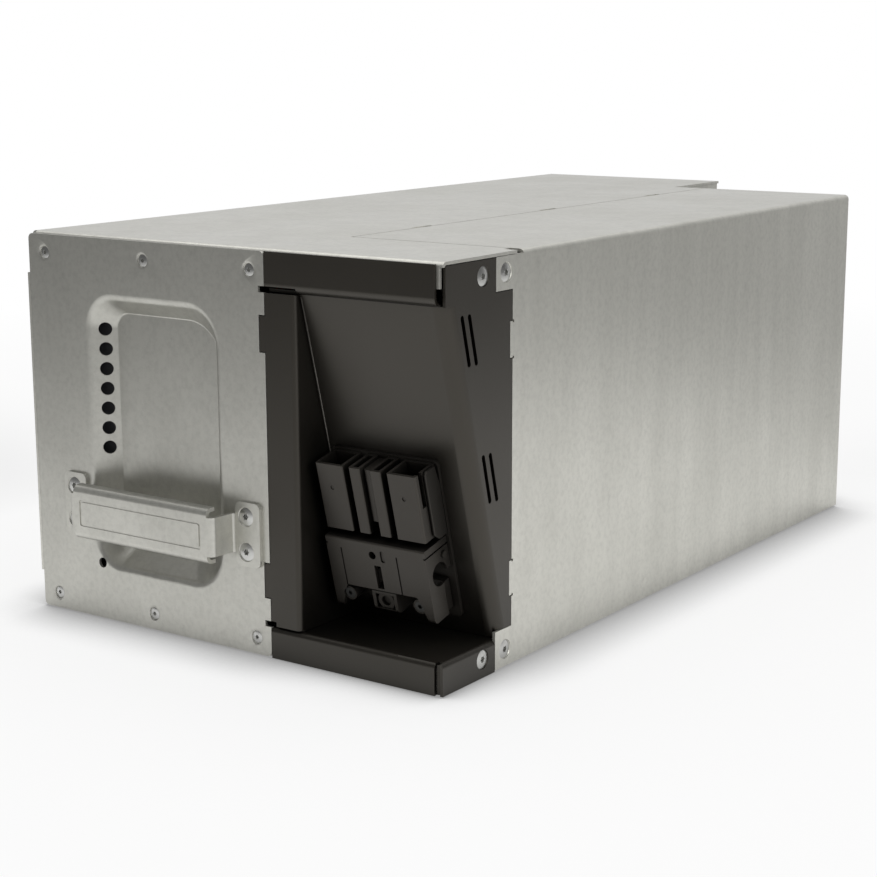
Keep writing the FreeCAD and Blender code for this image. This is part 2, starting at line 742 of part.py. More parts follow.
def base_tray():
    """Base sheet with up-turned flanges at the front and both sides, stepped at the rear."""
    x0, x1 = sheet + lap_gap, case_width - sheet - lap_gap
    high = flange_height
    cross = [V(x0, 0, high), V(x0, 0, 0), V(x1, 0, 0), V(x1, 0, high)]
    start = inner_y + bend_outer
    main = bent_sheet(cross, -1, sheet, bend_inner, V(0, short_depth - start, 0))
    main.translate(V(0, start, 0))
    half_cross = [V(x0, 0, high), V(x0, 0, 0), V(rear_width, 0, 0)]
    rear = bent_sheet(half_cross, -1, sheet, bend_inner, V(0, case_depth - short_depth, 0))
    rear.translate(V(0, short_depth, 0))
    front = [V(0, inner_y, high), V(0, inner_y, 0), V(0, start + 3, 0)]
    front_flange = bent_sheet(front, 1, sheet, bend_inner, V(x1 - x0 - 2 * bend_outer, 0, 0))
    front_flange.translate(V(x0 + bend_outer, 0, 0))
    shape = fuse_all([main, rear, front_flange])
    holes = [cylinder(V(x, 1, small_rows[0]), small_through(), 3 * sheet, V(0, 1, 0))
             for x in small_columns]
    for y in (side_column_front, side_column_rear):
        holes.append(cylinder(V(case_width, y, side_rows[0]), large_through(sheet), 4 * sheet, V(-1, 0, 0)))
    middle = case_width / 2
    for left, right, rear in ((0, middle, case_depth), (middle, case_width, short_depth)):
        holes.append(box(left, right, rear - rear_flange - 1, rear + 1, sheet, case_height))
    return cut_all(shape, holes)


def rear_panel():
    """Rear sheet folded round the notch, with flanges on the base, the top and both side walls."""
    x0, x1 = sheet + lap_gap, case_width - sheet - lap_gap
    low, high = sheet + lap_gap, case_height - sheet - lap_gap
    path = [V(x1, short_depth - rear_flange, low), V(x1, short_depth, low),
            V(rear_width, short_depth, low), V(rear_width, case_depth, low),
            V(x0, case_depth, low), V(x0, case_depth - rear_flange, low)]
    wall = bent_sheet(path, 1, sheet, bend_inner, V(0, 0, high - low))
    pieces = [wall]
    spans = ((x0 + bend_outer + 1, rear_width - bend_outer - 1, case_depth),
             (rear_width + bend_outer + 1, x1 - bend_outer - 1, short_depth))
    for left, right, back in spans:
        for z, reach in ((low, 1), (high, -1)):
            lap = [V(left, back, z + reach * 6), V(left, back, z), V(left, back - rear_flange, z)]
            piece = bent_sheet(lap, -reach, sheet, flat_bend, V(right - left, 0, 0))
            pieces.append(piece)
    tools = []
    for corner_x in (x0, x1):
        tools.append(box(corner_x - 2 * sheet, corner_x + 2 * sheet, 0, case_depth + 1,
                         high - bend_inner, high + 1))
    return cut_all(fuse_all(pieces), tools)


# ---------------------------------------------------------------- recess

def sloping_region(extra_low=0.0):
    """Space behind the sloping wall's front face."""
    low_z, high_z = recess_floor_top + extra_low, recess_top
    points = [V(0, wall_bottom_y, low_z), V(0, wall_top_y, high_z), V(0, recess_back_y, high_z),
              V(0, recess_back_y, low_z)]
    return plain_extrude(points, V(case_width + 10, 0, 0))


def recess_panel():
    """Top lip, sloping back wall and flush side face in one coated sheet.

    The wall and the side face meet in a soft bend whose axis leans with the wall."""
    wall_x0 = jamb_x1 + lap_gap
    lip_path = [V(jamb_x0, 0, plate_z1), V(jamb_x0, 0, recess_top),
                V(jamb_x0, wall_top_y + sheet, recess_top)]
    lip = bent_sheet(lip_path, 1, sheet, lip_bend, V(lip_end_x - jamb_x0, 0, 0))
    corner = [V(wall_x0, 0, 0), V(case_width, 0, 0), V(case_width, recess_back_y, 0)]
    soft = bent_sheet(corner, 1, sheet, side_bend - sheet, V(0, 0, case_height + 2 * recess_floor_top))
    soft.translate(V(0, 0, -recess_floor_top))
    wall = on_wall(soft).common(sloping_region(lap_gap))
    x0 = case_width - sheet
    low, high = recess_floor_top + lap_gap, case_height - sheet - edge_gap
    ear_low = ear_low_height
    behind = side_bend / math.cos(lean) + edge_gap
    face_outline = [V(x0, wall_top_y, high), V(x0, side_ear_y, high),
                    V(x0, side_ear_y, case_height - ear_top_height - edge_gap),
                    V(x0, recess_back_y, case_height - ear_top_height - edge_gap),
                    V(x0, recess_back_y, ear_low), V(x0, wall_bottom_y + behind, ear_low),
                    V(x0, wall_top_y + behind, recess_top), V(x0, wall_top_y, recess_top)]
    side_face = plain_extrude(face_outline, V(sheet, 0, 0))
    shape = fuse_all([lip, wall, side_face])
    tools = [box(jamb_x0 - 1, jamb_x1 + edge_gap, -1, wall_top_y, recess_top - 1,
                 joint_slot_high + joint_slot_height / 2)]
    tools += [box(case_width - 2 * sheet, case_width + 1, side_ear_y, recess_back_y + 1, low - 1, ear_low)]
    for z in (side_joint_low, side_joint_high):
        half = side_joint_height / 2 + edge_gap
        tools.append(box(x0 - 1, case_width + 1, recess_back_y - side_joint_reach, recess_back_y + 1,
                         z - half, z + half))
    for drop in slot_drops:
        for number in range(2):
            tools.append(side_slot(recess_top - drop, slot_offset + number * slot_pitch))
    seat = countersink(large_head / 2, large_shank / 2, 3 * sheet, lap_gap)
    tools.append(stood(seat, V(case_width, side_column_front, side_rows[1]), V(-1, 0, 0)))
    window_x = conn_width / 2 - window_margin
    window = box(conn_center_x - window_x, conn_center_x + window_x, -5, 10, window_bottom,
                 window_bottom + window_height)
    tools.append(on_wall(window))
    for x in (conn_center_x - boss_spread, conn_center_x + boss_spread):
        hole = cylinder(V(x, -5, carrier_bottom + boss_height), small_shank / 2 + lap_gap, 12, V(0, 1, 0))
        tools.append(on_wall(hole))
    return cut_all(shape, tools)


def side_slot(height, offset):
    """Round-ended slot through the side face, parallel to the leaning bend."""
    base_y = wall_top_y + (recess_top - height) * slope + offset / math.cos(lean)
    half = slot_length / 2 - slot_width / 2
    points = [V(0, -slot_width / 2, -half), V(0, slot_width / 2, -half),
              V(0, slot_width / 2, half), V(0, -slot_width / 2, half)]
    bar = plain_extrude(points, V(4 * sheet, 0, 0))
    ends = [cylinder(V(0, 0, z), slot_width / 2, 4 * sheet, V(1, 0, 0)) for z in (-half, half)]
    slot = fuse_all([bar] + ends)
    slot.rotate(V(0, 0, 0), V(1, 0, 0), lean_degrees)
    slot.translate(V(case_width - 3 * sheet, base_y, height))
    return slot


def recess_jamb():
    """Left flange and left wall of the recess, with two finger tabs into the front plate."""
    low = recess_floor_top + jamb_foot_gap
    high = joint_slot_high - joint_slot_height / 2
    path = [V(jamb_x0, 0, low), V(jamb_x1, 0, low), V(jamb_x1, recess_back_y, low)]
    bent = bent_sheet(path, 1, sheet, jamb_bend, V(0, 0, high - low))
    foot = box(jamb_x1 - sheet, jamb_x1, bend_outer, recess_back_y, recess_floor_top + lap_gap, low)
    pieces = [bent, foot]
    for z in (joint_low, joint_high):
        half = joint_tab_height / 2
        pieces.append(box(plate_x1 - joint_tab_reach + edge_gap, jamb_x0 + 1, 0, sheet, z - half, z + half))
    slot_top = joint_slot_low + joint_slot_height / 2
    shape = fuse_all(pieces).cut(box(jamb_x0 - 1, jamb_x0 + 2 * sheet, -1, 2 * sheet, low - 1, slot_top))
    over = box(jamb_x0 - 10, jamb_x1 + 1, sheet * 0.9, wall_top_y + sheet + 1, recess_top - lap_gap, high + 1)
    return shape.cut(over)


def recess_floor():
    """Floor of the recess with a front lip and a side lip that meet at an open corner."""
    top = recess_floor_top
    x0 = jamb_x0
    front = [V(x0, 0, lip_lift), V(x0, 0, top), V(x0, recess_back_y, top)]
    front_part = bent_sheet(front, -1, sheet, bend_inner, V(case_width - bend_outer - x0, 0, 0))
    side = [V(case_width, 0, lip_lift), V(case_width, 0, top), V(case_width - recess_width / 4, 0, top)]
    side_part = bent_sheet(side, -1, sheet, bend_inner, V(0, side_ear_y - side_lip_start, 0))
    side_part.translate(V(0, side_lip_start, 0))
    tongue = box(case_width - bend_outer - 2, case_width - sheet - lap_gap, side_ear_y, recess_back_y,
                 top - sheet, top)
    shape = fuse_all([front_part, side_part, tongue])
    notch = [box(lip_end_x - 0.6, case_width - bend_outer + 0.2, -1, bend_outer + 0.6, -1, top + 1),
             box(case_width - bend_outer - 0.5, case_width - sheet - 0.1, -1, bend_outer + 0.6, -1, top + 1)]
    seat = countersink(large_head / 2, large_shank / 2, 3 * sheet, lap_gap)
    notch.append(stood(seat, V(case_width, side_column_front, side_rows[0]), V(-1, 0, 0)))
    return cut_all(shape, notch)


def side_screws():
    screw = countersunk_screw(large_head / 2, large_shank / 2, large_length)
    return [stood(screw, V(case_width, y, z), V(-1, 0, 0))
            for y in (side_column_front, side_column_rear) for z in side_rows]


# ---------------------------------------------------------------- connector

def conn_x(share):
    """Position across the connector: -1 at its left edge, +1 at its right edge."""
    return conn_center_x + share * conn_width / 2


def connector_plate():
    """Mounting plate on the sloping wall, with the window that the leads come through."""
    x0, x1 = conn_x(-1) - plate_extra, conn_x(1) + plate_extra
    plate = rounded_slab(x0, x1, plate_bottom, plate_bottom + plate_height, plate_corner,
                         -plate_sheet - lap_gap, -lap_gap)
    half = conn_width / 2 - window_margin
    tools = [box(conn_center_x - half, conn_center_x + half, -9, 9, window_bottom,
                 window_bottom + window_height)]
    for x in (conn_center_x - boss_spread, conn_center_x + boss_spread):
        tools.append(cylinder(V(x, -9, carrier_bottom + boss_height), small_shank / 2 + lap_gap, 18,
                              V(0, 1, 0)))
    return on_wall(cut_all(plate, tools))


def carrier():
    """Moulded carrier under the housings, open at the foot so that its bosses and the latch show.

    Its front wall ends above the skirt between two tapering legs; the right leg is relieved round a
    round notch, and a parting line runs round both sides."""
    back = plate_sheet + 2 * lap_gap
    x0, x1 = conn_x(-1), conn_x(1)
    low, high = carrier_bottom, carrier_bottom + carrier_height
    wall, skirt = carrier_wall, carrier_bottom + carrier_skirt
    front = -carrier_depth
    outline = [V(x0, -back, low), V(x0, front, low), V(x0, front, high), V(x0, -back, high)]
    body = extrude(outline, [0, 2.0, 0.8, 0], V(x1 - x0, 0, 0))
    hollow = box(x0 + wall, x1 - wall, front + wall, -back - carrier_floor, low - 1, high - wall)
    behind = box(x0 + wall, x1 - wall, -back - carrier_floor - 1, 1, skirt + wall, high - wall)
    opening = [V(x0 + leg_foot, front + wall, low - 1), V(x1 - leg_foot, front + wall, low - 1),
               V(x1 - leg_width, front + wall, skirt), V(x0 + leg_width, front + wall, skirt)]
    mouth = plain_extrude(opening, V(0, -2 * wall, 0))
    tools = [hollow, behind, mouth] + carrier_marks(x0, x1, skirt, high)
    pieces = [cut_all(body, tools)]
    bosses = [conn_center_x - boss_spread, conn_center_x + boss_spread]
    for x in bosses:
        pieces.append(cylinder(V(x, -boss_reach, low + boss_height), boss_radius, boss_reach - back,
                               V(0, 1, 0)))
    pivot_z = high - lid_line - lid_groove - 2 * pivot_radius
    pieces.append(cylinder(V(x1 - 0.1, -back - 2.4 * pivot_radius, pivot_z), pivot_radius,
                           pivot_reach + 0.1, V(1, 0, 0)))
    shape = fuse_all(pieces)
    holes = [stood(countersink(boss_head / 2, small_shank / 2, boss_reach + 2, lap_gap),
                   V(x, -boss_reach, low + boss_height), V(0, 1, 0)) for x in bosses]
    return on_wall(cut_all(shape, holes))


def carrier_marks(x0, x1, skirt, high):
    """Keyhole, slot, oval, moulding lines, parting line and side notch, as tools for the carrier."""
    front, wall = -carrier_depth, carrier_wall
    key_x, key_z = conn_center_x, high - key_drop
    tools = [cylinder(V(key_x - key_offset, front - 1, key_z), key_radius, 2 * wall, V(0, 1, 0)),
             box(key_x - key_slot_width / 2, key_x + key_slot_width / 2, front - 1, front + wall + 1,
                 skirt + 0.8, skirt + 0.8 + key_slot_height)]
    oval_x = key_x + oval_offset
    tools.append(rounded_slab(oval_x - oval_width / 2, oval_x + oval_width / 2, key_z - oval_height / 2,
                              key_z + oval_height / 2, 0.45 * oval_width, front - 1, front + 0.5))
    for x in (x0 + moulding_line_left, x1 - moulding_line_right):
        tools.append(box(x - 0.3, x + 0.3, front - 1, front + 0.4, skirt, high - key_drop + 1))
    groove = high - lid_line
    for side, outward in ((x0, -1), (x1, 1)):
        near, far = sorted((side - outward * lid_groove, side + outward))
        tools.append(box(near, far, front - 1, 0, groove - lid_groove, groove))
    notch_z = high - side_notch_drop
    notch_y = front + wall + side_notch_radius + 1.0
    tools.append(cylinder(V(x1 - wall - 0.5, notch_y, notch_z), side_notch_radius, wall + 2, V(1, 0, 0)))
    tools.append(box(x1 - wall - 0.01, x1 + 1, -side_relief, 0, carrier_bottom - 1, notch_z))
    return tools


def connector_screws():
    screw = countersunk_screw(boss_head / 2, small_shank / 2, boss_reach + 3)
    low = carrier_bottom
    return [on_wall(stood(screw, V(x, -boss_reach, low + boss_height), V(0, 1, 0)))
            for x in (conn_center_x - boss_spread, conn_center_x + boss_spread)]


def connector_latch():
    """Latch block between the carrier's bosses: a frame round a screwed stud."""
    back = plate_sheet + 2 * lap_gap + carrier_floor + lap_gap
    x0, x1 = conn_center_x - latch_width / 2, conn_center_x + latch_width / 2
    foot = carrier_bottom + latch_low
    head = foot + latch_height
    outline = [V(x0, -back, foot), V(x0, -latch_reach, foot), V(x0, -latch_reach, head), V(x0, -back, head)]
    block = extrude(outline, [0, 1.6, 0.8, 0], V(x1 - x0, 0, 0))
    wall = latch_wall
    well = box(x0 + wall, x1 - wall, -latch_reach - 1, -back - 2 * wall, foot + wall, head - wall)
    middle = (foot + head) / 2
    stud = cylinder(V(conn_center_x, -latch_reach + 0.6, middle), latch_boss,
                    latch_reach - back - wall, V(0, 1, 0))
    block = fuse_all([block.cut(well), stud.common(box(x0, x1, -latch_reach, -back, foot, head))])
    socket = cylinder(V(conn_center_x, -latch_reach - 1, middle), 0.55 * latch_boss, 3.0, V(0, 1, 0))
    return on_wall(block.cut(socket))


def shroud(center_x, width, power):
    """Housing with an open mouth at its upper end and a lead entry in its back.

    The large power housings also carry a small round dimple on their front."""
    x0, x1 = center_x - width / 2, center_x + width / 2
    back = plate_sheet + 2 * lap_gap
    low, high = shroud_bottom, shroud_bottom + shroud_height
    points = [V(x0, -back, low), V(x1, -back, low), V(x1, -shroud_depth, low), V(x0, -shroud_depth, low)]
    body = extrude(points, [0.2, 0.2, shroud_corner, shroud_corner], V(0, 0, high - low))
    wall = shroud_wall
    tools = [box(x0 + wall, x1 - wall, -shroud_depth + wall, -back - wall, high - mouth_depth, high + 1)]
    hole = 0.5 * (lead_diameter if power else signal_lead_diameter) + lap_gap
    tools.append(cylinder(V(center_x, -back - wall - 4, low + lead_entry), hole, wall + 5, V(0, 1, 0)))
    if power:
        tools.append(cylinder(V(center_x, -shroud_depth - 1, high - 9.5), 0.9, 1.3, V(0, 1, 0)))
    return cut_all(body, tools)


def negative_shroud():
    centers = shroud_centers()
    return on_wall(shroud(centers["power_shroud_negative"], power_width, True))


def positive_shroud():
    """Right-hand large housing, with the slot in its side that shows the clip's edge."""
    body = shroud(shroud_centers()["power_shroud_positive"], power_width, True)
    high = shroud_bottom + shroud_height
    slot = box(conn_x(1) - shroud_wall - 0.5, conn_x(1) + 1, -clip_slot_front, -clip_slot_back,
               high - clip_slot_height, high + 1)
    return on_wall(body.cut(slot))


def left_signal_shroud():
    return on_wall(shroud(shroud_centers()["signal_shroud_left"], signal_width, False))


def right_signal_shroud():
    """Narrow housing with the web that fills the space to its left-hand neighbour."""
    centers = shroud_centers()
    body = shroud(centers["signal_shroud_right"], signal_width, False)
    left = centers["signal_shroud_left"] + signal_width / 2 + lap_gap
    right = centers["signal_shroud_right"] - signal_width / 2 + 0.5 * shroud_wall
    back = plate_sheet + 2 * lap_gap
    high = shroud_bottom + shroud_height
    web = box(left, right, -bridge_depth, -back, shroud_bottom + bridge_lift, high - 1.0)
    web = web.makeFillet(1.2, [e for e in web.Edges if abs(e.CenterOfMass.y + bridge_depth) < 1e-6
                               and abs(e.CenterOfMass.x - left) < 1e-6])
    return on_wall(fuse_all([body, web]))


def shroud_centers():
    power = conn_width / 2 - power_width / 2
    return {"power_shroud_negative": conn_center_x - power,
            "signal_shroud_left": conn_center_x - signal_spread,
            "signal_shroud_right": conn_center_x + signal_spread,
            "power_shroud_positive": conn_center_x + power}


def contact(center_x, width, thickness):
    """Blade that stands in a housing's mouth on the mouth's floor."""
    floor = shroud_bottom + shroud_height - mouth_depth + contact_clear
    middle = -(shroud_depth + plate_sheet) / 2
    x0 = center_x - width / 2
    top = floor + mouth_depth - blade_setback
    blade = box(x0, x0 + width, middle - thickness / 2, middle + thickness / 2, floor, top)
    tip = [e for e in blade.Edges if abs(e.CenterOfMass.z - top) < 1e-6]
    return on_wall(blade.makeChamfer(0.25 * min(width, thickness), tip))


def side_clip():
    """Flat clip beside the right housing that holds it to the plate."""
    x0 = conn_x(1) + clip_gap
    back = plate_sheet + 2 * lap_gap
    low, high = shroud_bottom - 1.2, shroud_bottom + shroud_height
    edge = clip_slot_back - edge_gap
    outline = [V(x0, -back, low), V(x0, -edge + 2.4, low), V(x0, -edge, low + 2.4),
               V(x0, -edge, high - 1.2), V(x0, -edge + 1.2, high), V(x0, -back - 1.4, high),
               V(x0, -back - 0.4, high - 6), V(x0, -back, high - 7)]
    return on_wall(plain_extrude(outline, V(clip_sheet, 0, 0)))


# ---------------------------------------------------------------- inside

def tab_heights():
    return block_low + tab_inset, block_low + block_height - tab_inset


def left_tab_y(index):
    return block_front + (index + 0.5) * block_thickness


def right_tab_y(index):
    return right_front + (index + 0.5) * block_thickness + right_tab_shift


def battery_block(x0, y0, tab_side, tab_y):
    """Sealed block on end: case with a lid line, and two blade tabs on the side of the channel."""
    case = box(x0, x0 + block_width, y0, y0 + block_thickness, block_low, block_low + block_height)
    case = case.makeFillet(block_edge, [e for e in case.Edges if abs(e.Length - block_height) < 1e-6])
    face_x = x0 + block_width if tab_side > 0 else x0
    lid_x = face_x - tab_side * block_lid
    groove = box(lid_x - 0.5, lid_x + 0.5, y0 - 1, y0 + block_thickness + 1, block_low - 1,
                 block_low + block_height + 1)
    keep = box(lid_x - 0.6, lid_x + 0.6, y0 + 0.4, y0 + block_thickness - 0.4, block_low + 0.4,
               block_low + block_height - 0.4)
    case = case.cut(groove.cut(keep))
    pieces = [case]
    for z in tab_heights():
        inner, outer = sorted((face_x - tab_side * 0.5, face_x + tab_side * tab_reach))
        pieces.append(box(inner, outer, tab_y - tab_sheet / 2, tab_y + tab_sheet / 2,
                          z - tab_width / 2, z + tab_width / 2))
    return fuse_all(pieces)


def sleeve(face_x, side, y, z):
    """Insulated push-on receptacle round one tab."""
    start, end = sorted((face_x + side * sleeve_gap, face_x + side * (sleeve_gap + link_sleeve_x)))
    body = box(start, end, y - link_sleeve_y / 2, y + link_sleeve_y / 2, z - link_sleeve_z / 2,
               z + link_sleeve_z / 2)
    body = body.makeFillet(0.6, [e for e in body.Edges if abs(e.Length - link_sleeve_x) < 1e-6])
    half_y, half_z = tab_sheet / 2 + link_clear, tab_width / 2 + link_clear
    inner, outer = sorted((face_x, face_x + side * (tab_reach + link_clear)))
    return body, box(inner, outer, y - half_y, y + half_y, z - half_z, z + half_z)


def link(face_x, side, y_from, y_to, z):
    """Series link between two tabs on the same side of the channel."""
    first, first_slot = sleeve(face_x, side, y_from, z)
    second, second_slot = sleeve(face_x, side, y_to, z)
    x = face_x + side * (sleeve_gap + link_sleeve_x / 2)
    wire = cylinder(V(x, y_from, z), link_wire / 2, y_to - y_from, V(0, 1, 0))
    return cut_all(fuse_all([first, second, wire]), [first_slot, second_slot])


def series_links():
    """Links along both columns; each column alternates between the lower and the upper tabs."""
    low, high = tab_heights()
    links = []
    for i in range(blocks_left - 1):
        links.append(link(left_x1, 1, left_tab_y(i), left_tab_y(i + 1), low if i % 2 == 0 else high))
    for i in range(blocks_right - 1):
        level = low if (blocks_right - 2 - i) % 2 == 0 else high
        links.append(link(right_x0, -1, right_tab_y(i), right_tab_y(i + 1), level))
    return links


def cross_link():
    """Link from the rear block of the left column to the rear block of the right column."""
    high = tab_heights()[1]
    y_left, y_right = left_tab_y(blocks_left - 1), right_tab_y(blocks_right - 1)
    first, first_slot = sleeve(left_x1, 1, y_left, high)
    second, second_slot = sleeve(right_x0, -1, y_right, high)
    x_left = left_x1 + sleeve_gap + link_sleeve_x / 2
    x_right = right_x0 - sleeve_gap - link_sleeve_x / 2
    near = min(y_left, y_right)
    far = max(y_left, y_right)
    x_near, x_far = (x_left, x_right) if y_left < y_right else (x_right, x_left)
    middle = (near + far) / 2
    route = [V(x_near, near, high), V(x_near, middle - 6, high), V(x_far, middle + 6, high),
             V(x_far, far, high)]
    wire = lead(route, link_wire)
    return cut_all(fuse_all([first, second, wire]), [first_slot, second_slot])


def fuse_center():
    return V(jamb_x1 + fuse_inset, (recess_back_y + right_front) / 2, case_height - fuse_drop)


def positive_lead():
    """From the front left block's upper tab through the fuse to the right-hand large housing."""
    high = tab_heights()[1]
    y = left_tab_y(0)
    cap, slot = sleeve(left_x1, 1, y, high)
    center = fuse_center()
    end = fuse_length / 2 + holder_cap
    start_x = left_x1 + sleeve_gap + link_sleeve_x - 0.5
    first = lead([V(start_x, y, high), V(start_x + 12, y, high),
                  V(center.x - end - 12, center.y, center.z), V(center.x - end, center.y, center.z)],
                 lead_diameter)
    target_x = shroud_centers()["power_shroud_positive"]
    entry = wall_point(target_x, plate_sheet + 2 * lap_gap + shroud_wall, shroud_bottom + lead_entry)
    out = V(0, math.cos(lean), math.sin(lean))
    second = lead([V(center.x + end, center.y, center.z), V(center.x + end + 9, center.y, center.z),
                   V(target_x, center.y - 2, center.z - 16), V(target_x, entry.y + 28, entry.z + 20),
                   entry + out * 12, entry], lead_diameter)
    return [cut_all(fuse_all([cap, first]), [slot]), second]


def negative_lead():
    """From the front right block's upper tab along the channel to the left-hand large housing."""
    high = tab_heights()[1]
    y = right_tab_y(0)
    cap, slot = sleeve(right_x0, -1, y, high)
    x = channel_lead_x
    target_x = shroud_centers()["power_shroud_negative"]
    entry = wall_point(target_x, plate_sheet + 2 * lap_gap + shroud_wall, shroud_bottom + lead_entry)
    out = V(0, math.cos(lean), math.sin(lean))
    wire = lead([V(x, y, high), V(x, right_front - 12, high), V(x + 3, right_front - 27, high - 40),
                 V(target_x - 8, entry.y + 34, entry.z + 24), entry + out * 12, entry],
                0.9 * lead_diameter, 0.35)
    return [cut_all(fuse_all([cap, wire]), [slot])]


def fuse_holder():
    """Clear tube with two caps round the fuse; both leads end at its caps."""
    center = fuse_center()
    outer = fuse_radius + holder_wall
    half = fuse_length / 2
    tube = cylinder(center - V(half + holder_cap, 0, 0), outer, 2 * (half + holder_cap), V(1, 0, 0))
    bore = cylinder(center - V(half, 0, 0), fuse_radius + lap_gap, 2 * half, V(1, 0, 0))
    grooves = [ring(center + V(side * (half - 2), 0, 0), V(1, 0, 0), outer - 0.6, outer + 1, 1.2)
               for side in (-1, 1)]
    return cut_all(tube, [bore] + grooves)


def fuse():
    """Cartridge fuse: tube body between two end caps."""
    center = fuse_center()
    half = fuse_length / 2 - lap_gap
    body = cylinder(center - V(half, 0, 0), fuse_radius - 0.5, 2 * half, V(1, 0, 0))
    caps = [cylinder(center - V(half, 0, 0), fuse_radius, 9, V(1, 0, 0)),
            cylinder(center + V(half - 9, 0, 0), fuse_radius, 9, V(1, 0, 0))]
    return fuse_all([body] + caps)


def sensor_spot():
    return V(right_x0 + sensor_inset, right_front - 2.4, case_height - sensor_drop)


def signal_leads():
    """Two thin leads from the narrow housings to the temperature sensor."""
    spot = sensor_spot()
    leads = []
    out = V(0, math.cos(lean), math.sin(lean))
    for name, shift in (("signal_shroud_left", -1.6), ("signal_shroud_right", 1.6)):
        x = shroud_centers()[name]
        entry = wall_point(x, plate_sheet + 2 * lap_gap + shroud_wall, shroud_bottom + lead_entry)
        leads.append(lead([entry, entry + out * 12, V(spot.x + 3 * shift, spot.y - 14, spot.z - 16),
                           V(spot.x + shift, spot.y, spot.z - 14), V(spot.x + shift, spot.y, spot.z - 4)],
                          signal_lead_diameter))
    return leads


def temperature_sensor():
    """Sensor bead on the front face of the front right block."""
    spot = sensor_spot()
    body = box(spot.x - 4, spot.x + 4, right_front - 4.4, right_front, spot.z - 4, spot.z + 8)
    return body.makeFillet(1.2, [e for e in body.Edges if abs(e.Length - 12) < 1e-6])


def base_pad():
    """Insulating pad under both columns, cut away round the rear panel's flanges."""
    low, high = sheet, sheet + pad_thickness
    left = box(left_x0 + bend_inner, left_x1, block_front, block_rear - rear_flange - 1, low, high)
    right = box(right_x0, right_x1 - bend_inner, right_front, right_rear - rear_flange - 1, low, high)
    bridge = box(left_x1 - 1, right_x0 + 1, right_front, right_rear - rear_flange - 1, low, high)
    return fuse_all([left, right, bridge])


def top_foam():
    """Foam strips between the blocks and the top sheet, one over each column."""
    low = block_low + block_height
    strips = []
    for middle, front, rear in (((left_x0 + left_x1) / 2, block_front + 10, block_rear - rear_flange - 6),
                                ((right_x0 + right_x1) / 2, right_front + 4, right_rear - rear_flange - 6)):
        strips.append(box(middle - foam_width / 2, middle + foam_width / 2, front, rear, low,
                          low + foam_thickness))
    return strips


def retaining_bracket():
    """Bent bracket that holds the right column away from the wiring bay."""
    x0, x1 = right_x0 + 2, right_x1 - 2
    back = right_front - lap_gap
    path = [V(x0, back - bracket_foot, sheet), V(x0, back, sheet), V(x0, back, sheet + bracket_height)]
    body = bent_sheet(path, 1, sheet, bend_inner, V(x1 - x0, 0, 0))
    holes = [cylinder(V(x, back - 0.6 * bracket_foot, 0), bracket_hole / 2, 6, V(0, 0, 1))
             for x in (x0 + bracket_foot, x1 - bracket_foot)]
    slots = [box(x0 + 1.5 * bracket_foot, x1 - 1.5 * bracket_foot, back - 2 * sheet, back + 1,
                 0.3 * bracket_height, 0.75 * bracket_height)]
    return cut_all(body, holes + slots)


def cable_ties():
    """One tie round each main lead where it turns down to the connector."""
    center = fuse_center()
    end = fuse_length / 2 + holder_cap
    ties = []
    x = center.x - end - 3.0
    ties.append((V(x, center.y, center.z), V(1, 0, 0), lead_diameter / 2))
    high = tab_heights()[1]
    x = channel_lead_x
    ties.append((V(x, right_front + 6, high), V(0, 1, 0), 0.9 * lead_diameter / 2))
    shapes = []
    for spot, axis, radius in ties:
        shapes.append(ring(spot, axis, radius, radius + 0.5, 2.4))
    return shapes


# ---------------------------------------------------------------- export

def place(shape):
    """Moves a finished shape so that the box of the whole cartridge is centred on the Z axis."""
    copy = shape.copy()
    copy.translate(V(-case_width / 2, -(case_depth - handle_reach) / 2, 0))
    return copy


def build():
    """Every node of the cartridge by name."""
    centers = shroud_centers()
    nodes = {
        "front_plate": front_plate(), "front_screws": front_screws(), "handle": handle(),
        "handle_screws": handle_screws(), "left_shell": left_shell(), "right_shell": right_shell(),
        "base_tray": base_tray(), "rear_panel": rear_panel(), "recess_panel": recess_panel(),
        "recess_jamb": recess_jamb(), "recess_floor": recess_floor(), "side_screws": side_screws(),
        "connector_plate": connector_plate(), "connector_carrier": carrier(),
        "connector_screws": connector_screws(), "connector_latch": connector_latch(),
        "side_clip": side_clip(), "series_links": series_links(), "cross_link": cross_link(),
        "positive_lead": positive_lead(), "negative_lead": negative_lead(),
        "fuse_holder": fuse_holder(), "fuse": fuse(), "signal_leads": signal_leads(),
        "temperature_sensor": temperature_sensor(), "base_pad": base_pad(), "top_foam": top_foam(),
        "retaining_bracket": retaining_bracket(), "cable_ties": cable_ties(),
    }
    nodes["power_shroud_negative"] = negative_shroud()
    nodes["power_shroud_positive"] = positive_shroud()
    nodes["signal_shroud_left"] = left_signal_shroud()
    nodes["signal_shroud_right"] = right_signal_shroud()
    nodes["power_contacts"] = [contact(centers[name], 6.0, 1.6)
                               for name in ("power_shroud_negative", "power_shroud_positive")]
    nodes["signal_contacts"] = [contact(centers[name], 1.6, 2.4)
                                for name in ("signal_shroud_left", "signal_shroud_right")]
    number = 1
    for i in range(blocks_left):
        y0 = block_front + i * block_thickness
        nodes["battery_block_%02d" % number] = battery_block(left_x0, y0, 1, left_tab_y(i))
        number += 1
    for i in range(blocks_right):
        y0 = right_front + i * block_thickness
        nodes["battery_block_%02d" % number] = battery_block(right_x0, y0, -1, right_tab_y(i))
        number += 1
    return nodes


os.makedirs("parts", exist_ok=True)
for node, shapes in build().items():
    if isinstance(shapes, list):
        shape = Part.makeCompound([place(solid) for solid in shapes])
    else:
        shape = place(shapes)
    if not shape.isValid():
        print("not valid:", node)
    shape.exportStep("parts/%s.step" % node)
    print("%-24s solids %d volume %.1f" % (node, len(shape.Solids), shape.Volume))
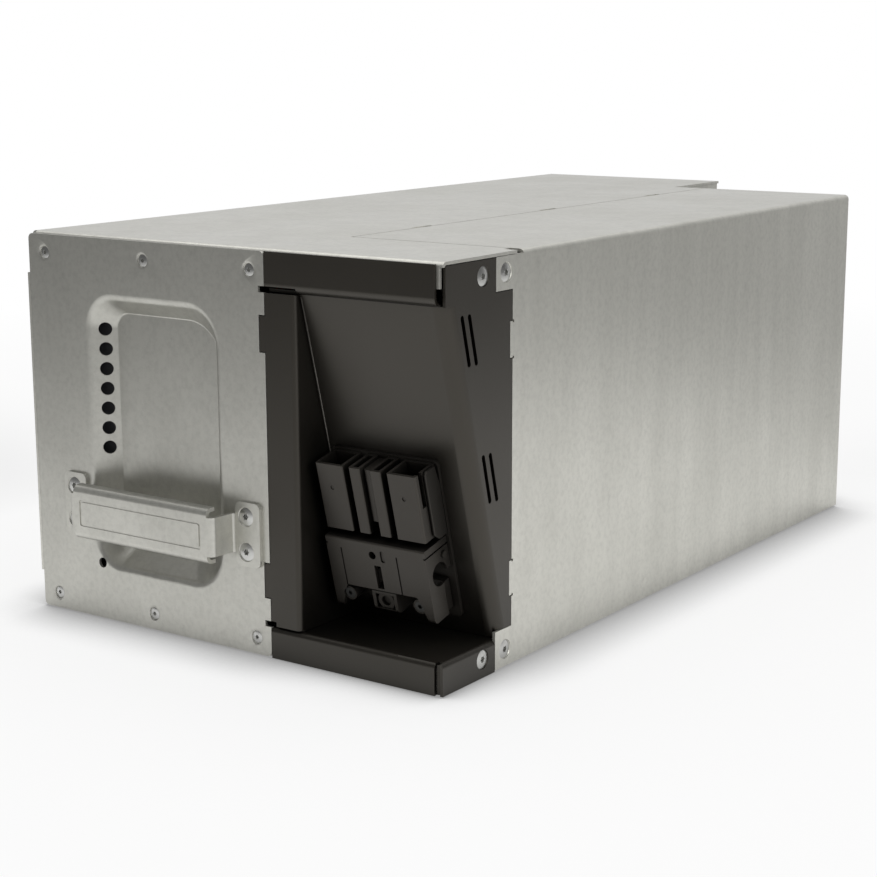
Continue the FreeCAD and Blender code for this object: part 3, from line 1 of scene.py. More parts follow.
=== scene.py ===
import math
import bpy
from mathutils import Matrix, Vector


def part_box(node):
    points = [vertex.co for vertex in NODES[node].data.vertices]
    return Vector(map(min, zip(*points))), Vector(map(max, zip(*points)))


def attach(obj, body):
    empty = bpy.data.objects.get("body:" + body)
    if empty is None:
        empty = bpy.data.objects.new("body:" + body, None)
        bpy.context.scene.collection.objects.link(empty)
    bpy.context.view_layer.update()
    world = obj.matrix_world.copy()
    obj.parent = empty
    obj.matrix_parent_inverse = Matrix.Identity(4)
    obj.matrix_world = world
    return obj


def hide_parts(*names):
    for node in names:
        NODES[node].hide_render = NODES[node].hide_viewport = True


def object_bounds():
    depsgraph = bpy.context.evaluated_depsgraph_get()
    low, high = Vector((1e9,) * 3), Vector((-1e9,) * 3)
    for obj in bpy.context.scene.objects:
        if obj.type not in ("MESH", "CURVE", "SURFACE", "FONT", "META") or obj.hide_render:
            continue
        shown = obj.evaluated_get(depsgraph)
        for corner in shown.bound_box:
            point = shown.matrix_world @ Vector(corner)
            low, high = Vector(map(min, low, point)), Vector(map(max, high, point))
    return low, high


bl_info = {
    "name": "Battery cartridge",
    "version": (1, 0, 0),
    "blender": (4, 5, 0),
    "location": "3D View > Sidebar > Cartridge",
    "description": "Finishes and fine forms of a slide-in battery cartridge on its CAD frame",
    "category": "Object",
}

import bmesh
import bpy
import numpy as np
from mathutils import Matrix, Vector

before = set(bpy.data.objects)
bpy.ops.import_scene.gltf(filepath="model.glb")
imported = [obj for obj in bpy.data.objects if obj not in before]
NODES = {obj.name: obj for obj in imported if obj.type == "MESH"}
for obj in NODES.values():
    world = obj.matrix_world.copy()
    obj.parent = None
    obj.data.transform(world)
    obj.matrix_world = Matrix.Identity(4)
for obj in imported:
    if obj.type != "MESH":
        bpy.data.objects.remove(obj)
cad_low, cad_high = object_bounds()

MM = 0.001
SAME_POINT = 2e-6                       # points of a CAD mesh that are closer than this are one
SHARP = math.radians(40.0)              # edges that bend more than this stay sharp or are rounded off
COAT_PAINTED_SHADE_REACH = 0.045                    # how far the coated recess looks round for the shade painted into its colour
HOUSING_PAINTED_SHADE_REACH = 0.012                 # how far the moulded housings look round for their painted shade
BLACK_SCREW_EDGE = 0.00008              # rounding of the connector's two screws
CONTACT_EDGE = 0.0001                   # rounding of the contact blades

# Right end of the top sheet's short front flange, measured from the left shell's box
FLANGE_TOP = 0.0019
FLANGE_FOOT = 0.0106
FLANGE_DEPTH = 0.0045
CUT_BEYOND = 0.001                      # how far a cutting box stands out of the sheet

# Studio: the side on which the backdrop is white, and where it turns from grey to white,
# as the cosine of the angle to that side
WHITE = (1.0, 1.0, 1.0, 1.0)
WHITE_SIDE = (-0.57, 0.82, 0.0)
WHITE_FROM, WHITE_TO = 0.30, 0.80
FLOOR_HALF = 6.0                        # half the floor's width
GLOW_NEAR, GLOW_FAR, GLOW_LEAST = 0.25, 0.9, 0.80   # the floor's glow: full from far on, least near by
CONTACT_REACH = 0.035                   # how far the floor looks round for its contact shadow
CONTACT_FULL, CONTACT_NONE = 0.5, 0.95  # how open the floor is where that shadow is full, and ends
AIM = (0.0, 0.0, 0.08)                  # what the lamps point at
LAMPS = (("key", (-0.08, -0.05, 1.05), 1.4), ("fill", (1.35, -0.45, 0.55), 0.8))
CAMERA_PLACE = (0.4707, -0.7175, 0.2306)
CAMERA_TURN = (35.1555, 11.8813, -0.1765)        # azimuth, elevation and roll in degrees
CAMERA_FRAME = 36.0                     # width of the camera's frame in millimetres


# ------------------------------------------------------------------ settings

def length(name, text, default):
    """Size setting in metres."""
    return bpy.props.FloatProperty(name=name, description=text, default=default, unit="LENGTH",
                                   precision=5)


def colour(name, text, default):
    """Colour setting, linear."""
    return bpy.props.FloatVectorProperty(name=name, description=text, default=default, size=3,
                                         subtype="COLOR", min=0.0, max=1.0)


def share(name, text, default):
    """Setting between 0 and 1."""
    return bpy.props.FloatProperty(name=name, description=text, default=default, min=0.0, max=1.0,
                                   subtype="FACTOR")


def watts(name, text, default):
    """Power of a lamp."""
    return bpy.props.FloatProperty(name=name, description=text, default=default, min=0.0)


class CartridgeSheet(bpy.types.PropertyGroup):
    zinc: colour("Zinc", "Colour of the galvanised sheet", (0.665, 0.658, 0.605))
    zinc_dark: colour("Zinc, dark cloud", "Colour of the darker clouds in the zinc", (0.53, 0.525, 0.48))
    zinc_roughness: share("Zinc roughness", "Roughness of the galvanised sheet", 0.33)
    coat: colour("Coating", "Colour of the black coating", (0.0138, 0.0117, 0.0090))
    coat_roughness: share("Coating roughness", "Roughness of the black coating", 0.35)
    edge: length("Edge rounding", "Width of the rounding that finishes sheet edges", 0.00018)
    strip_width: length("Corner strip", "Width of the strip behind the floor's open corner", 0.0034)
    bead: length("Wall edge", "Radius of the bare edge beside the sloping wall", 0.00028)
    bead_offset: length("Wall edge, offset", "Distance of that edge from the recess's left wall", 0.0008)
    wall_foot: length("Wall foot", "Depth position of the sloping wall's foot", -0.1566)
    wall_head: length("Wall head", "Depth position of the sloping wall's head", -0.1894)
    wall_height: length("Wall height", "Height of the sloping wall's head", 0.1400)
    flange_gap: length("Flange gap", "How far the top's short flange stops before the side face", 0.0013)


class CartridgeFasteners(bpy.types.PropertyGroup):
    steel: colour("Screw steel", "Colour of the zinc-plated screws", (0.62, 0.62, 0.60))
    large_head: length("Large head", "Radius of the large screw heads", 0.0037)
    crown: length("Crown", "Height of the slight dome on a large screw head", 0.00050)
    sink: length("Sink", "How far a large head's rim sits below its seat's edge", 0.00046)
    socket: share("Socket", "Radius of the lobed socket as a share of the head's", 0.31)
    socket_depth: length("Socket depth", "Depth of the lobed socket in a large head", 0.0016)
    lobes: share("Lobes", "How far the socket's six lobes swell and shrink", 0.13)


class CartridgeConnector(bpy.types.PropertyGroup):
    plastic: colour("Housing plastic", "Colour of the moulded housings", (0.0300, 0.0270, 0.0235))
    plastic_roughness: share("Plastic roughness", "Roughness of the housings", 0.40)
    contact: colour("Contact metal", "Colour of the contact blades", (0.72, 0.66, 0.50))
    edge: length("Moulded edge", "Rounding of the moulded edges", 0.00032)


class CartridgeStage(bpy.types.PropertyGroup):
    floor: colour("Floor", "Colour of the studio floor", (0.90, 0.90, 0.90))
    white_center: bpy.props.FloatVectorProperty(
        name="White centre", description="Middle of the floor's white part", default=(0.10, -0.12),
        size=2, unit="LENGTH")
    white_near: length("White, near", "Distance at which the floor begins to grey", 0.33)
    white_far: length("White, far", "Distance at which the floor has the backdrop's grey", 0.90)
    contact: share("Contact shadow", "Share of the floor's white left beside the cartridge", 0.35)
    lens: length("Focal length", "Focal length of the camera on a 36 mm wide frame", 0.0772604)
    room: share("Room", "Grey of the backdrop away from its white part", 0.14)
    ambient: share("Ambient", "Strength of the even light from all round", 0.50)
    key: watts("Key light", "Power of the large soft light above in watts", 6.0)
    fill: watts("Fill light", "Power of the soft light on the right in watts", 5.0)


# ------------------------------------------------------------------ materials

class Nodes:
    """Short way to fill one node tree.

    An input is a value, or a pair of a node and its output that is linked to it."""

    def __init__(self, tree):
        self.tree = tree
        tree.nodes.clear()

    def add(self, kind, inputs=None, **attributes):
        """New node of a kind, with its attributes set before its inputs."""
        node = self.tree.nodes.new(kind)
        for key, value in attributes.items():
            setattr(node, key, value)
        for key, value in (inputs or {}).items():
            self.put(value, node, key)
        return node

    def put(self, value, node, slot):
        """Sets one input to a value, or links a node's output to it."""
        if isinstance(value, tuple) and hasattr(value[0], "outputs"):
            self.tree.links.new(value[0].outputs[value[1]], node.inputs[slot])
        else:
            node.inputs[slot].default_value = value


class Graph(Nodes):
    """Node tree of a new material, with one main shader."""

    def __init__(self, name):
        self.material = bpy.data.materials.new(name)
        self.material.use_nodes = True
        super().__init__(self.material.node_tree)
        self.output = self.add("ShaderNodeOutputMaterial")
        self.shader = self.add("ShaderNodeBsdfPrincipled")
        self.put((self.shader, 0), self.output, 0)

    def look(self, **inputs):
        """Sets the main shader's inputs; an underscore in a name stands for a space."""
        for name, value in inputs.items():
            self.put(value, self.shader, name.replace("_", " "))

    def noise(self, stretch, detail, roughness):
        """Noise on Object coordinates, with so many waves to the metre along each axis."""
        place = self.add("ShaderNodeTexCoord")
        mapping = self.add("ShaderNodeMapping", {"Vector": (place, "Object"), "Scale": stretch})
        return self.add("ShaderNodeTexNoise", {"Vector": (mapping, 0), "Scale": 1.0, "Detail": detail,
                                               "Roughness": roughness})

    def band(self, source, low, high, to_low, to_high):
        """Maps a stretch of a noise onto another, clamped."""
        return (self.add("ShaderNodeMapRange", {"Value": (source, 0), "From Min": low, "From Max": high,
                                                "To Min": to_low, "To Max": to_high}), 0)

    def blend(self, factor, first, second):
        """Mix of two colours, each a triple or a pair of a node and its output."""
        node = self.add("ShaderNodeMix", {"Factor": factor}, data_type="RGBA")
        for slot, value in ((6, first), (7, second)):
            plain = isinstance(value[0], float)
            self.put((*value[:3], 1.0) if plain else value, node, slot)
        return (node, 2)

    def painted_hollow_shade(self, tint, distance):
        """Painted shade: colour multiplied by the square of how open the surface is around, so that
        recesses are painted dark.
        """
        around = self.add("ShaderNodeAmbientOcclusion", {"Distance": distance}, samples=8)
        square = self.add("ShaderNodeMath", {0: (around, "AO"), 1: (around, "AO")}, operation="MULTIPLY")
        return self.blend((square, 0), (0.0, 0.0, 0.0), tint)

    def bump(self, height, strength, distance, **normal):
        """Relief from a noise, on top of another relief if one is given as Normal."""
        return (self.add("ShaderNodeBump", {"Height": (height, 0), "Strength": strength,
                                            "Distance": distance, **normal}), 0)


def scaled(tint, factor):
    """Colour times a factor, as a triple."""
    return tuple(factor * c for c in tint)


def galvanised(name, streak_scale, streak_share, painted_light_scale):
    """Galvanised sheet: even matt zinc with soft clouds, broad faint streaks and a fine mottled grain; the
    whole colour is scaled lighter or darker per sheet as painted light and shade.
    """
    look = bpy.context.scene.cartridge_sheet
    # painted light and shade: the whole zinc is scaled lighter or darker per sheet for how light falls on
    # it
    zinc, dark = scaled(look.zinc, painted_light_scale), scaled(look.zinc_dark, painted_light_scale)
    graph = Graph(name)
    streaks = graph.noise(streak_scale, 2.0, 0.5)
    clouds = graph.noise((24.0, 24.0, 17.0), 4.0, 0.6)
    mottle = graph.noise((420.0, 420.0, 420.0), 3.0, 0.65)
    grain = graph.noise((1500.0, 1500.0, 1500.0), 2.0, 0.6)
    tint = zinc
    # each layer: its noise, where in that it begins and is full, its share when full, its colour
    for noise, low, high, most, shade in ((streaks, 0.36, 0.68, streak_share, dark),
                                          (clouds, 0.35, 0.72, 0.45, dark),
                                          (mottle, 0.42, 0.78, 0.34, scaled(dark, 0.72)),
                                          (grain, 0.58, 0.80, 0.16, (0.80, 0.80, 0.78))):
        tint = graph.blend(graph.band(noise, low, high, 0.0, most), tint, shade)
    rough = look.zinc_roughness
    fine = graph.bump(mottle, 0.10, 0.00006)
    graph.look(Base_Color=tint, Roughness=graph.band(clouds, 0.3, 0.7, rough - 0.03, rough + 0.05),
               Metallic=0.74, Specular_Tint=(0.55, 0.55, 0.56, 1.0),
               Normal=graph.bump(clouds, 0.05, 0.0006, Normal=fine))
    return graph.material


def black_coating(name):
    """Satin coating: faint orange peel, slightly lighter clouds and shade painted dark into its recesses.
    """
    look = bpy.context.scene.cartridge_sheet
    coat, rough = tuple(look.coat), look.coat_roughness
    graph = Graph(name)
    peel = graph.noise((700.0, 700.0, 700.0), 2.0, 0.5)
    clouds = graph.noise((14.0, 14.0, 10.0), 4.0, 0.55)
    tint = graph.blend(graph.band(clouds, 0.4, 0.75, 0.0, 0.25), coat, scaled(coat, 1.7))
    # painted shade: the coat's colour goes dark in the recess's corners and creases
    graph.look(Base_Color=graph.painted_hollow_shade(tint, COAT_PAINTED_SHADE_REACH),
               Roughness=graph.band(clouds, 0.3, 0.7, rough - 0.04, rough + 0.07),
               IOR=1.62, Specular_Tint=(1.0, 0.94, 0.83, 1.0), Normal=graph.bump(peel, 0.22, 0.00006))
    return graph.material


def moulded_plastic(name, base, roughness, painted_shade_reach=0.0):
    """Moulded plastic: fine spark-eroded grain, slightly shinier patches and, where a distance is given
    for it, shade painted dark into its recesses."""
    graph = Graph(name)
    grain = graph.noise((1400.0, 1400.0, 1400.0), 2.0, 0.5)
    patch = graph.noise((60.0, 60.0, 60.0), 3.0, 0.5)
    tint = graph.blend(graph.band(patch, 0.35, 0.7, 0.0, 0.6), base, scaled(base, 1.4))
    # painted shade: the housing colour goes dark in its recesses
    if painted_shade_reach > 0.0:
        tint = graph.painted_hollow_shade(tint, painted_shade_reach)
        graph.look(Specular_Tint=(1.0, 0.94, 0.84, 1.0))
    graph.look(Base_Color=tint, Roughness=graph.band(patch, 0.3, 0.7, roughness - 0.05, roughness + 0.08),
               Normal=graph.bump(grain, 0.18, 0.00004))
    return graph.material


def plated_metal(name, base, roughness, metallic=1.0):
    """Plated metal: turned grain and slightly uneven gloss."""
    graph = Graph(name)
    grain = graph.noise((900.0, 900.0, 900.0), 3.0, 0.5)
    patch = graph.noise((180.0, 180.0, 180.0), 2.0, 0.5)
    tint = graph.blend(graph.band(patch, 0.35, 0.7, 0.0, 0.5), base, scaled(base, 0.78))
    graph.look(Base_Color=tint, Roughness=graph.band(patch, 0.3, 0.7, roughness - 0.04, roughness + 0.06),
               Metallic=metallic, Normal=graph.bump(grain, 0.12, 0.00004))
    return graph.material


def finish(name):
    """Material of that name, made once."""
    if name in bpy.data.materials:
        return bpy.data.materials[name]
    steel = tuple(bpy.context.scene.cartridge_fasteners.steel)
    connector = bpy.context.scene.cartridge_connector
    plastic, contact = tuple(connector.plastic), tuple(connector.contact)
    maker, *details = {
        # the front plate's zinc is painted darker and the other sheets' lighter, for the shade and light
        # on those faces
        "zinc_front": (galvanised, (26.0, 26.0, 14.0), 0.2, 0.94),
        "zinc_upright": (galvanised, (90.0, 90.0, 6.0), 0.35, 1.12),
        "zinc_strap": (galvanised, (20.0, 60.0, 60.0), 0.15, 1.0),
        "black_coating": (black_coating,),
        # lighter edge bead: partly a bare worn sheet edge, partly a painted highlight along it
        "bare_edge": (plated_metal, (0.16, 0.15, 0.135), 0.4, 0.6),
        "screw_steel": (plated_metal, steel, 0.30),
        "socket_dark": (plated_metal, (0.10, 0.10, 0.095), 0.5),
        "contact_metal": (plated_metal, contact, 0.3),
        "housing": (moulded_plastic, plastic, connector.plastic_roughness, HOUSING_PAINTED_SHADE_REACH),
        # painted shade: the side clip is the housing plastic made darker where it sits between the right
        # housing and the plate
        "clip": (moulded_plastic, scaled(plastic, 0.4), 0.5, HOUSING_PAINTED_SHADE_REACH),
        "red_insulation": (moulded_plastic, (0.42, 0.02, 0.015), 0.4),
        "black_insulation": (moulded_plastic, (0.02, 0.02, 0.02), 0.45),
        "block_case": (moulded_plastic, (0.05, 0.05, 0.055), 0.5),
        "liner": (moulded_plastic, (0.66, 0.64, 0.58), 0.6),
        "foam": (moulded_plastic, (0.06, 0.06, 0.06), 0.9),
    }[name]
    return maker(name, *details)


# ------------------------------------------------------------------ meshes

def dress(obj, material):
    """Gives an object one material."""
    obj.data.materials.clear()
    obj.data.materials.append(material)


def new_piece(name, points, faces, material):
    """Smooth object from whole arrays of points and faces, riding on the cartridge."""
    mesh = bpy.data.meshes.new(name)
    mesh.from_pydata(points.tolist(), [], faces.tolist())
    mesh.validate()
    mesh.polygons.foreach_set("use_smooth", np.ones(len(mesh.polygons), dtype=bool))
    obj = bpy.data.objects.new(name, mesh)
    bpy.context.scene.collection.objects.link(obj)
    dress(obj, material)
    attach(obj, "root")
    return obj


def around(columns):
    """Angles of so many columns all the way round, without the last, which is the first again."""
    return np.linspace(0.0, 2 * np.pi, columns, endpoint=False)


def ring_faces(rows, columns):
    """Quads between rows of points that each run all the way round."""
    r = np.arange(rows - 1)[:, None]
    c = np.arange(columns)[None, :]
    after = (c + 1) % columns
    quads = [r * columns + c, r * columns + after, (r + 1) * columns + after, (r + 1) * columns + c]
    return np.stack(quads, -1).reshape(-1, 4)


def without(obj, low, high):
    """Takes a box out of a dressed sheet; its corners are low + (high - low) * 0 or 1 per axis."""
    low, high = np.array(low), np.array(high)
    ends = np.stack(np.meshgrid((0, 1), (0, 1), (0, 1), indexing="ij"), -1).reshape(-1, 3)
    mesh = bpy.data.meshes.new("cut")
    mesh.from_pydata((low + (high - low) * ends).tolist(), [],
                     [(0, 1, 3, 2), (4, 6, 7, 5), (0, 4, 5, 1), (2, 3, 7, 6), (0, 2, 6, 4), (1, 5, 7, 3)])
    tool = bpy.data.objects.new("cut", mesh)
    bpy.context.scene.collection.objects.link(tool)
    cut = obj.modifiers.new("cut", "BOOLEAN")
    cut.operation = "DIFFERENCE"
    cut.solver = "EXACT"
    cut.object = tool
    bpy.context.view_layer.update()
    solved = obj.evaluated_get(bpy.context.evaluated_depsgraph_get())
    obj.data = bpy.data.meshes.new_from_object(solved)
    obj.modifiers.remove(cut)
    bpy.data.objects.remove(tool)
    bpy.data.meshes.remove(mesh)


def refined(node, material, edge, taken=None):
    """Copy of a CAD node that stands for it, its loose triangles joined, its faces smooth up to an angle
    and its edges rounded. A box given as taken is cut away."""
    flat, smooth = math.radians(0.2), math.radians(28.0)
    source = NODES[node]
    obj = source.copy()
    obj.data = source.data.copy()
    obj.name = node + ("_sheet" if material.name.startswith("zinc") else "_skin")
    obj.parent = None
    bpy.context.scene.collection.objects.link(obj)
    shell = bmesh.new()
    shell.from_mesh(obj.data)
    bmesh.ops.remove_doubles(shell, verts=shell.verts, dist=SAME_POINT)
    bmesh.ops.dissolve_limit(shell, angle_limit=flat, verts=shell.verts, edges=shell.edges)
    bmesh.ops.triangulate(shell, faces=[f for f in shell.faces if len(f.verts) > 4])
    shell.to_mesh(obj.data)
    shell.clear()
    if taken is not None:
        without(obj, *taken)
    shell.from_mesh(obj.data)
    for border in shell.edges:
        border.smooth = len(border.link_faces) == 2 and border.calc_face_angle(0.0) < smooth
    for face in shell.faces:
        face.smooth = True
    shell.to_mesh(obj.data)
    shell.free()
    if obj.data.has_custom_normals:
        with bpy.context.temp_override(object=obj, active_object=obj):
            bpy.ops.mesh.customdata_custom_splitnormals_clear()
    bevel = obj.modifiers.new("edge", "BEVEL")
    bevel.width = edge
    bevel.segments = 2
    bevel.limit_method = "ANGLE"
    bevel.angle_limit = SHARP
    bevel.harden_normals = False
    bevel.use_clamp_overlap = True
    flats = obj.modifiers.new("flats", "WEIGHTED_NORMAL")
    flats.mode = "FACE_AREA"
    flats.weight = 100
    flats.keep_sharp = True
    dress(obj, material)
    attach(obj, "root")
    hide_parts(node)
    return obj


def parts_of(mesh):
    """Boxes of a mesh's separate parts, as arrays of lowest and highest corners.

    Points that coincide are one. The lowest number in a part spreads along its edges until nothing
    changes."""
    points = np.empty(len(mesh.vertices) * 3)
    mesh.vertices.foreach_get("co", points)
    points = points.reshape(-1, 3)
    ends = np.empty(len(mesh.edges) * 2, dtype=int)
    mesh.edges.foreach_get("vertices", ends)
    cells = np.round(points / SAME_POINT).astype(np.int64)
    same = np.unique(cells, axis=0, return_inverse=True)[1].reshape(-1)
    ends = same[ends].reshape(-1, 2)
    label = np.arange(same.max() + 1)
    while True:
        lowest = np.minimum(label[ends[:, 0]], label[ends[:, 1]])
        spread = label.copy()
        np.minimum.at(spread, ends[:, 0], lowest)
        np.minimum.at(spread, ends[:, 1], lowest)
        spread = spread[spread]
        if np.array_equal(spread, label):
            break
        label = spread
    part = label[same]
    names = np.unique(part)
    return (np.array([points[part == name].min(0) for name in names]),
            np.array([points[part == name].max(0) for name in names]))


def screw_surface(radius, reach, columns=72):
    """Countersunk screw with a domed, lobed head, its face towards +Z and its seat's edge at height 0.

    The radius and height are a profile turned about the axis. On the crown the height is
    crown (1 - (r / radius)^2) - sink. The radius inside the socket is multiplied by
    1 + lobes cos(6 angle), which fades out over the crown's first rows."""
    look = bpy.context.scene.cartridge_fasteners
    socket, shank = look.socket * radius, 0.5 * radius
    scale = radius / look.large_head
    crown, sink = look.crown * scale, look.sink * scale
    bevel, land = 0.00006, 0.0003       # rounding of the head's edges, upright stretch of its rim
    crown_rows, faded_rows = 10, 3

    def height(r):
        return crown * (1.0 - (r / radius) ** 2) - sink

    dome = np.linspace(socket + bevel, radius - 2 * bevel, crown_rows)
    floor = height(0.0) - look.socket_depth * scale
    rim = height(radius) - bevel
    r = np.concatenate([(0.0, 0.6 * socket, 0.94 * socket, socket, socket), dome,
                        (radius - bevel / 2, radius, radius, shank, shank, 0.0)])
    z = np.concatenate([(floor, floor, floor, floor + bevel, height(socket) - bevel), height(dome),
                        (rim + bevel / 2, rim - bevel, rim - land, rim - land - radius + shank,
                         -reach, -reach)])
    lobed = np.concatenate([(0.0, 1.0, 1.0, 1.0, 1.0),
                            np.clip(1.0 - np.arange(crown_rows) / faded_rows, 0.0, 1.0), np.zeros(6)])
    turn = around(columns)
    out = r[:, None] * (1.0 + look.lobes * lobed[:, None] * np.cos(6 * turn)[None, :])
    points = np.stack([out * np.cos(turn), out * np.sin(turn), np.broadcast_to(z[:, None], out.shape)], -1)
    return points.reshape(-1, 3), ring_faces(len(r), columns)[:, ::-1]


def screws(node, axis, material):
    """All screws of a node as surfaces, set where its solids are; axis 0 faces +X, axis 1 faces -Y."""
    end_gap = 0.0001                    # the new shank ends this far inside the solid's
    points, faces, count = [], [], 0
    for low, high in zip(*parts_of(NODES[node].data)):
        middle = (low + high) / 2
        local, quads = screw_surface((high[2] - low[2]) / 2, (high - low)[axis] - end_gap)
        side, up, out = local.T
        across = (high[0] + out, middle[1] + side) if axis == 0 else (middle[0] + side, low[1] - out)
        points.append(np.stack([*across, middle[2] + up], -1))
        faces.append(quads + count)
        count += len(local)
    piece = new_piece(node + "_turned", np.concatenate(points), np.concatenate(faces), material)
    piece.data.set_sharp_from_angle(angle=SHARP)
    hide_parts(node)


def corner_strip(material):
    """Upright strip that closes the recess floor's open front corner from behind.

    The plan is a flat oval of half width a and half depth b, (a cos t, b sin t), turned to face the
    corner and carried straight up; the end rows shrink to the middle and close it."""
    look = bpy.context.scene.cartridge_sheet
    half_depth, lean = 0.00035, math.radians(28.0)
    inset, below_top, columns = (0.0024, 0.0025), 0.0010, 24
    low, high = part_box("recess_floor")
    turn = around(columns)
    along, across = look.strip_width / 2 * np.cos(turn), half_depth * np.sin(turn)
    plan = np.stack([along * math.cos(lean) - across * math.sin(lean),
                     along * math.sin(lean) + across * math.cos(lean)], -1)
    middle = np.array([high[0] - inset[0], low[1] + inset[1]])
    size = np.array([0.0, 1.0, 1.0, 0.0])
    height = np.array([low[2], low[2], high[2] - below_top, high[2] - below_top])
    flat = middle + size[:, None, None] * plan[None, :, :]
    points = np.concatenate([flat, np.broadcast_to(height[:, None, None], flat.shape[:2] + (1,))], -1)
    piece = new_piece("recess_floor_corner", points.reshape(-1, 3), ring_faces(4, columns), material)
    piece.data.set_sharp_from_angle(angle=SHARP)


def wall_bead(material):
    """Lighter sheet edge along the sloping wall's left side, partly bare worn metal and partly a painted
    highlight.

    Its section is a circle, (r cos t, r sin t), carried along the straight line from the wall's foot to
    its head; the end rows shrink to the line and close it."""
    look = bpy.context.scene.cartridge_sheet
    above_floor, columns = 0.002, 16
    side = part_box("recess_jamb")[1][0] + look.bead_offset
    foot = np.array([side, look.wall_foot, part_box("recess_floor")[1][2] + above_floor])
    head = np.array([side, look.wall_head, look.wall_height])
    along = (head - foot) / np.linalg.norm(head - foot)
    across = np.array([1.0, 0.0, 0.0])
    out = np.cross(across, along)
    turn = around(columns)
    ring = look.bead * (np.cos(turn)[:, None] * across + np.sin(turn)[:, None] * out)
    size = np.array([0.0, 1.0, 1.0, 0.0])
    points = np.stack([foot, foot, head, head])[:, None, :] + size[:, None, None] * ring[None, :, :]
    new_piece("sloping_wall_edge", points.reshape(-1, 3), ring_faces(4, columns), material)


# ------------------------------------------------------------------ operators

class CARTRIDGE_OT_galvanised(bpy.types.Operator):
    """Finishes the galvanised sheets: front plate, side and top shells, base, rear and handle"""
    bl_idname = "cartridge.galvanised"
    bl_label = "Galvanised sheets"

    def execute(self, context):
        look = context.scene.cartridge_sheet
        low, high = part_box("left_shell")
        flange_end = ((cad_high[0] - look.flange_gap, low[1] - CUT_BEYOND, high[2] - FLANGE_FOOT),
                      (cad_high[0] + CUT_BEYOND, low[1] + FLANGE_DEPTH, high[2] - FLANGE_TOP))
        refined("front_plate", finish("zinc_front"), look.edge)
        refined("left_shell", finish("zinc_upright"), look.edge, flange_end)
        for node in ("right_shell", "base_tray", "rear_panel"):
            refined(node, finish("zinc_upright"), look.edge)
        dress(NODES["retaining_bracket"], finish("zinc_upright"))
        refined("handle", finish("zinc_strap"), look.edge)
        return {"FINISHED"}


class CARTRIDGE_OT_recess(bpy.types.Operator):
    """Finishes the black coated sheets of the recess"""
    bl_idname = "cartridge.recess"
    bl_label = "Black recess"

    def execute(self, context):
        for node in ("recess_panel", "recess_jamb", "recess_floor"):
            refined(node, finish("black_coating"), context.scene.cartridge_sheet.edge)
        corner_strip(finish("black_coating"))
        wall_bead(finish("bare_edge"))
        return {"FINISHED"}


class CARTRIDGE_OT_fasteners(bpy.types.Operator):
    """Finishes the screws"""
    bl_idname = "cartridge.fasteners"
    bl_label = "Fasteners"

    def execute(self, context):
        for node, axis in (("front_screws", 1), ("handle_screws", 1), ("side_screws", 0)):
            screws(node, axis, finish("screw_steel"))
        refined("connector_screws", finish("socket_dark"), BLACK_SCREW_EDGE)
        return {"FINISHED"}


class CARTRIDGE_OT_connector(bpy.types.Operator):
    """Finishes the connector: plate, carrier, housings, latch, clip and contacts"""
    bl_idname = "cartridge.connector"
    bl_label = "Connector"

    def execute(self, context):
        edge = context.scene.cartridge_connector.edge
        for node in ("connector_plate", "connector_carrier", "connector_latch", "side_clip",
                     "power_shroud_negative", "power_shroud_positive", "signal_shroud_left",
                     "signal_shroud_right"):
            refined(node, finish("clip" if node == "side_clip" else "housing"), edge)
        for node in ("power_contacts", "signal_contacts"):
            refined(node, finish("contact_metal"), CONTACT_EDGE)
        return {"FINISHED"}


class CARTRIDGE_OT_inside(bpy.types.Operator):
    """Gives the hidden pieces inside the case their finishes"""
    bl_idname = "cartridge.inside"
    bl_label = "Inside"

    def execute(self, context):
        for name, nodes in (("block_case", [node for node in NODES if node.startswith("battery_block")]),
                            ("red_insulation", ("series_links", "cross_link", "positive_lead")),
                            ("black_insulation", ("negative_lead", "signal_leads", "temperature_sensor",
                                                  "cable_ties")),
                            ("housing", ("fuse_holder",)), ("contact_metal", ("fuse",)),
                            ("liner", ("base_pad",)), ("foam", ("top_foam",))):
            for node in nodes:
                dress(NODES[node], finish(name))
        return {"FINISHED"}


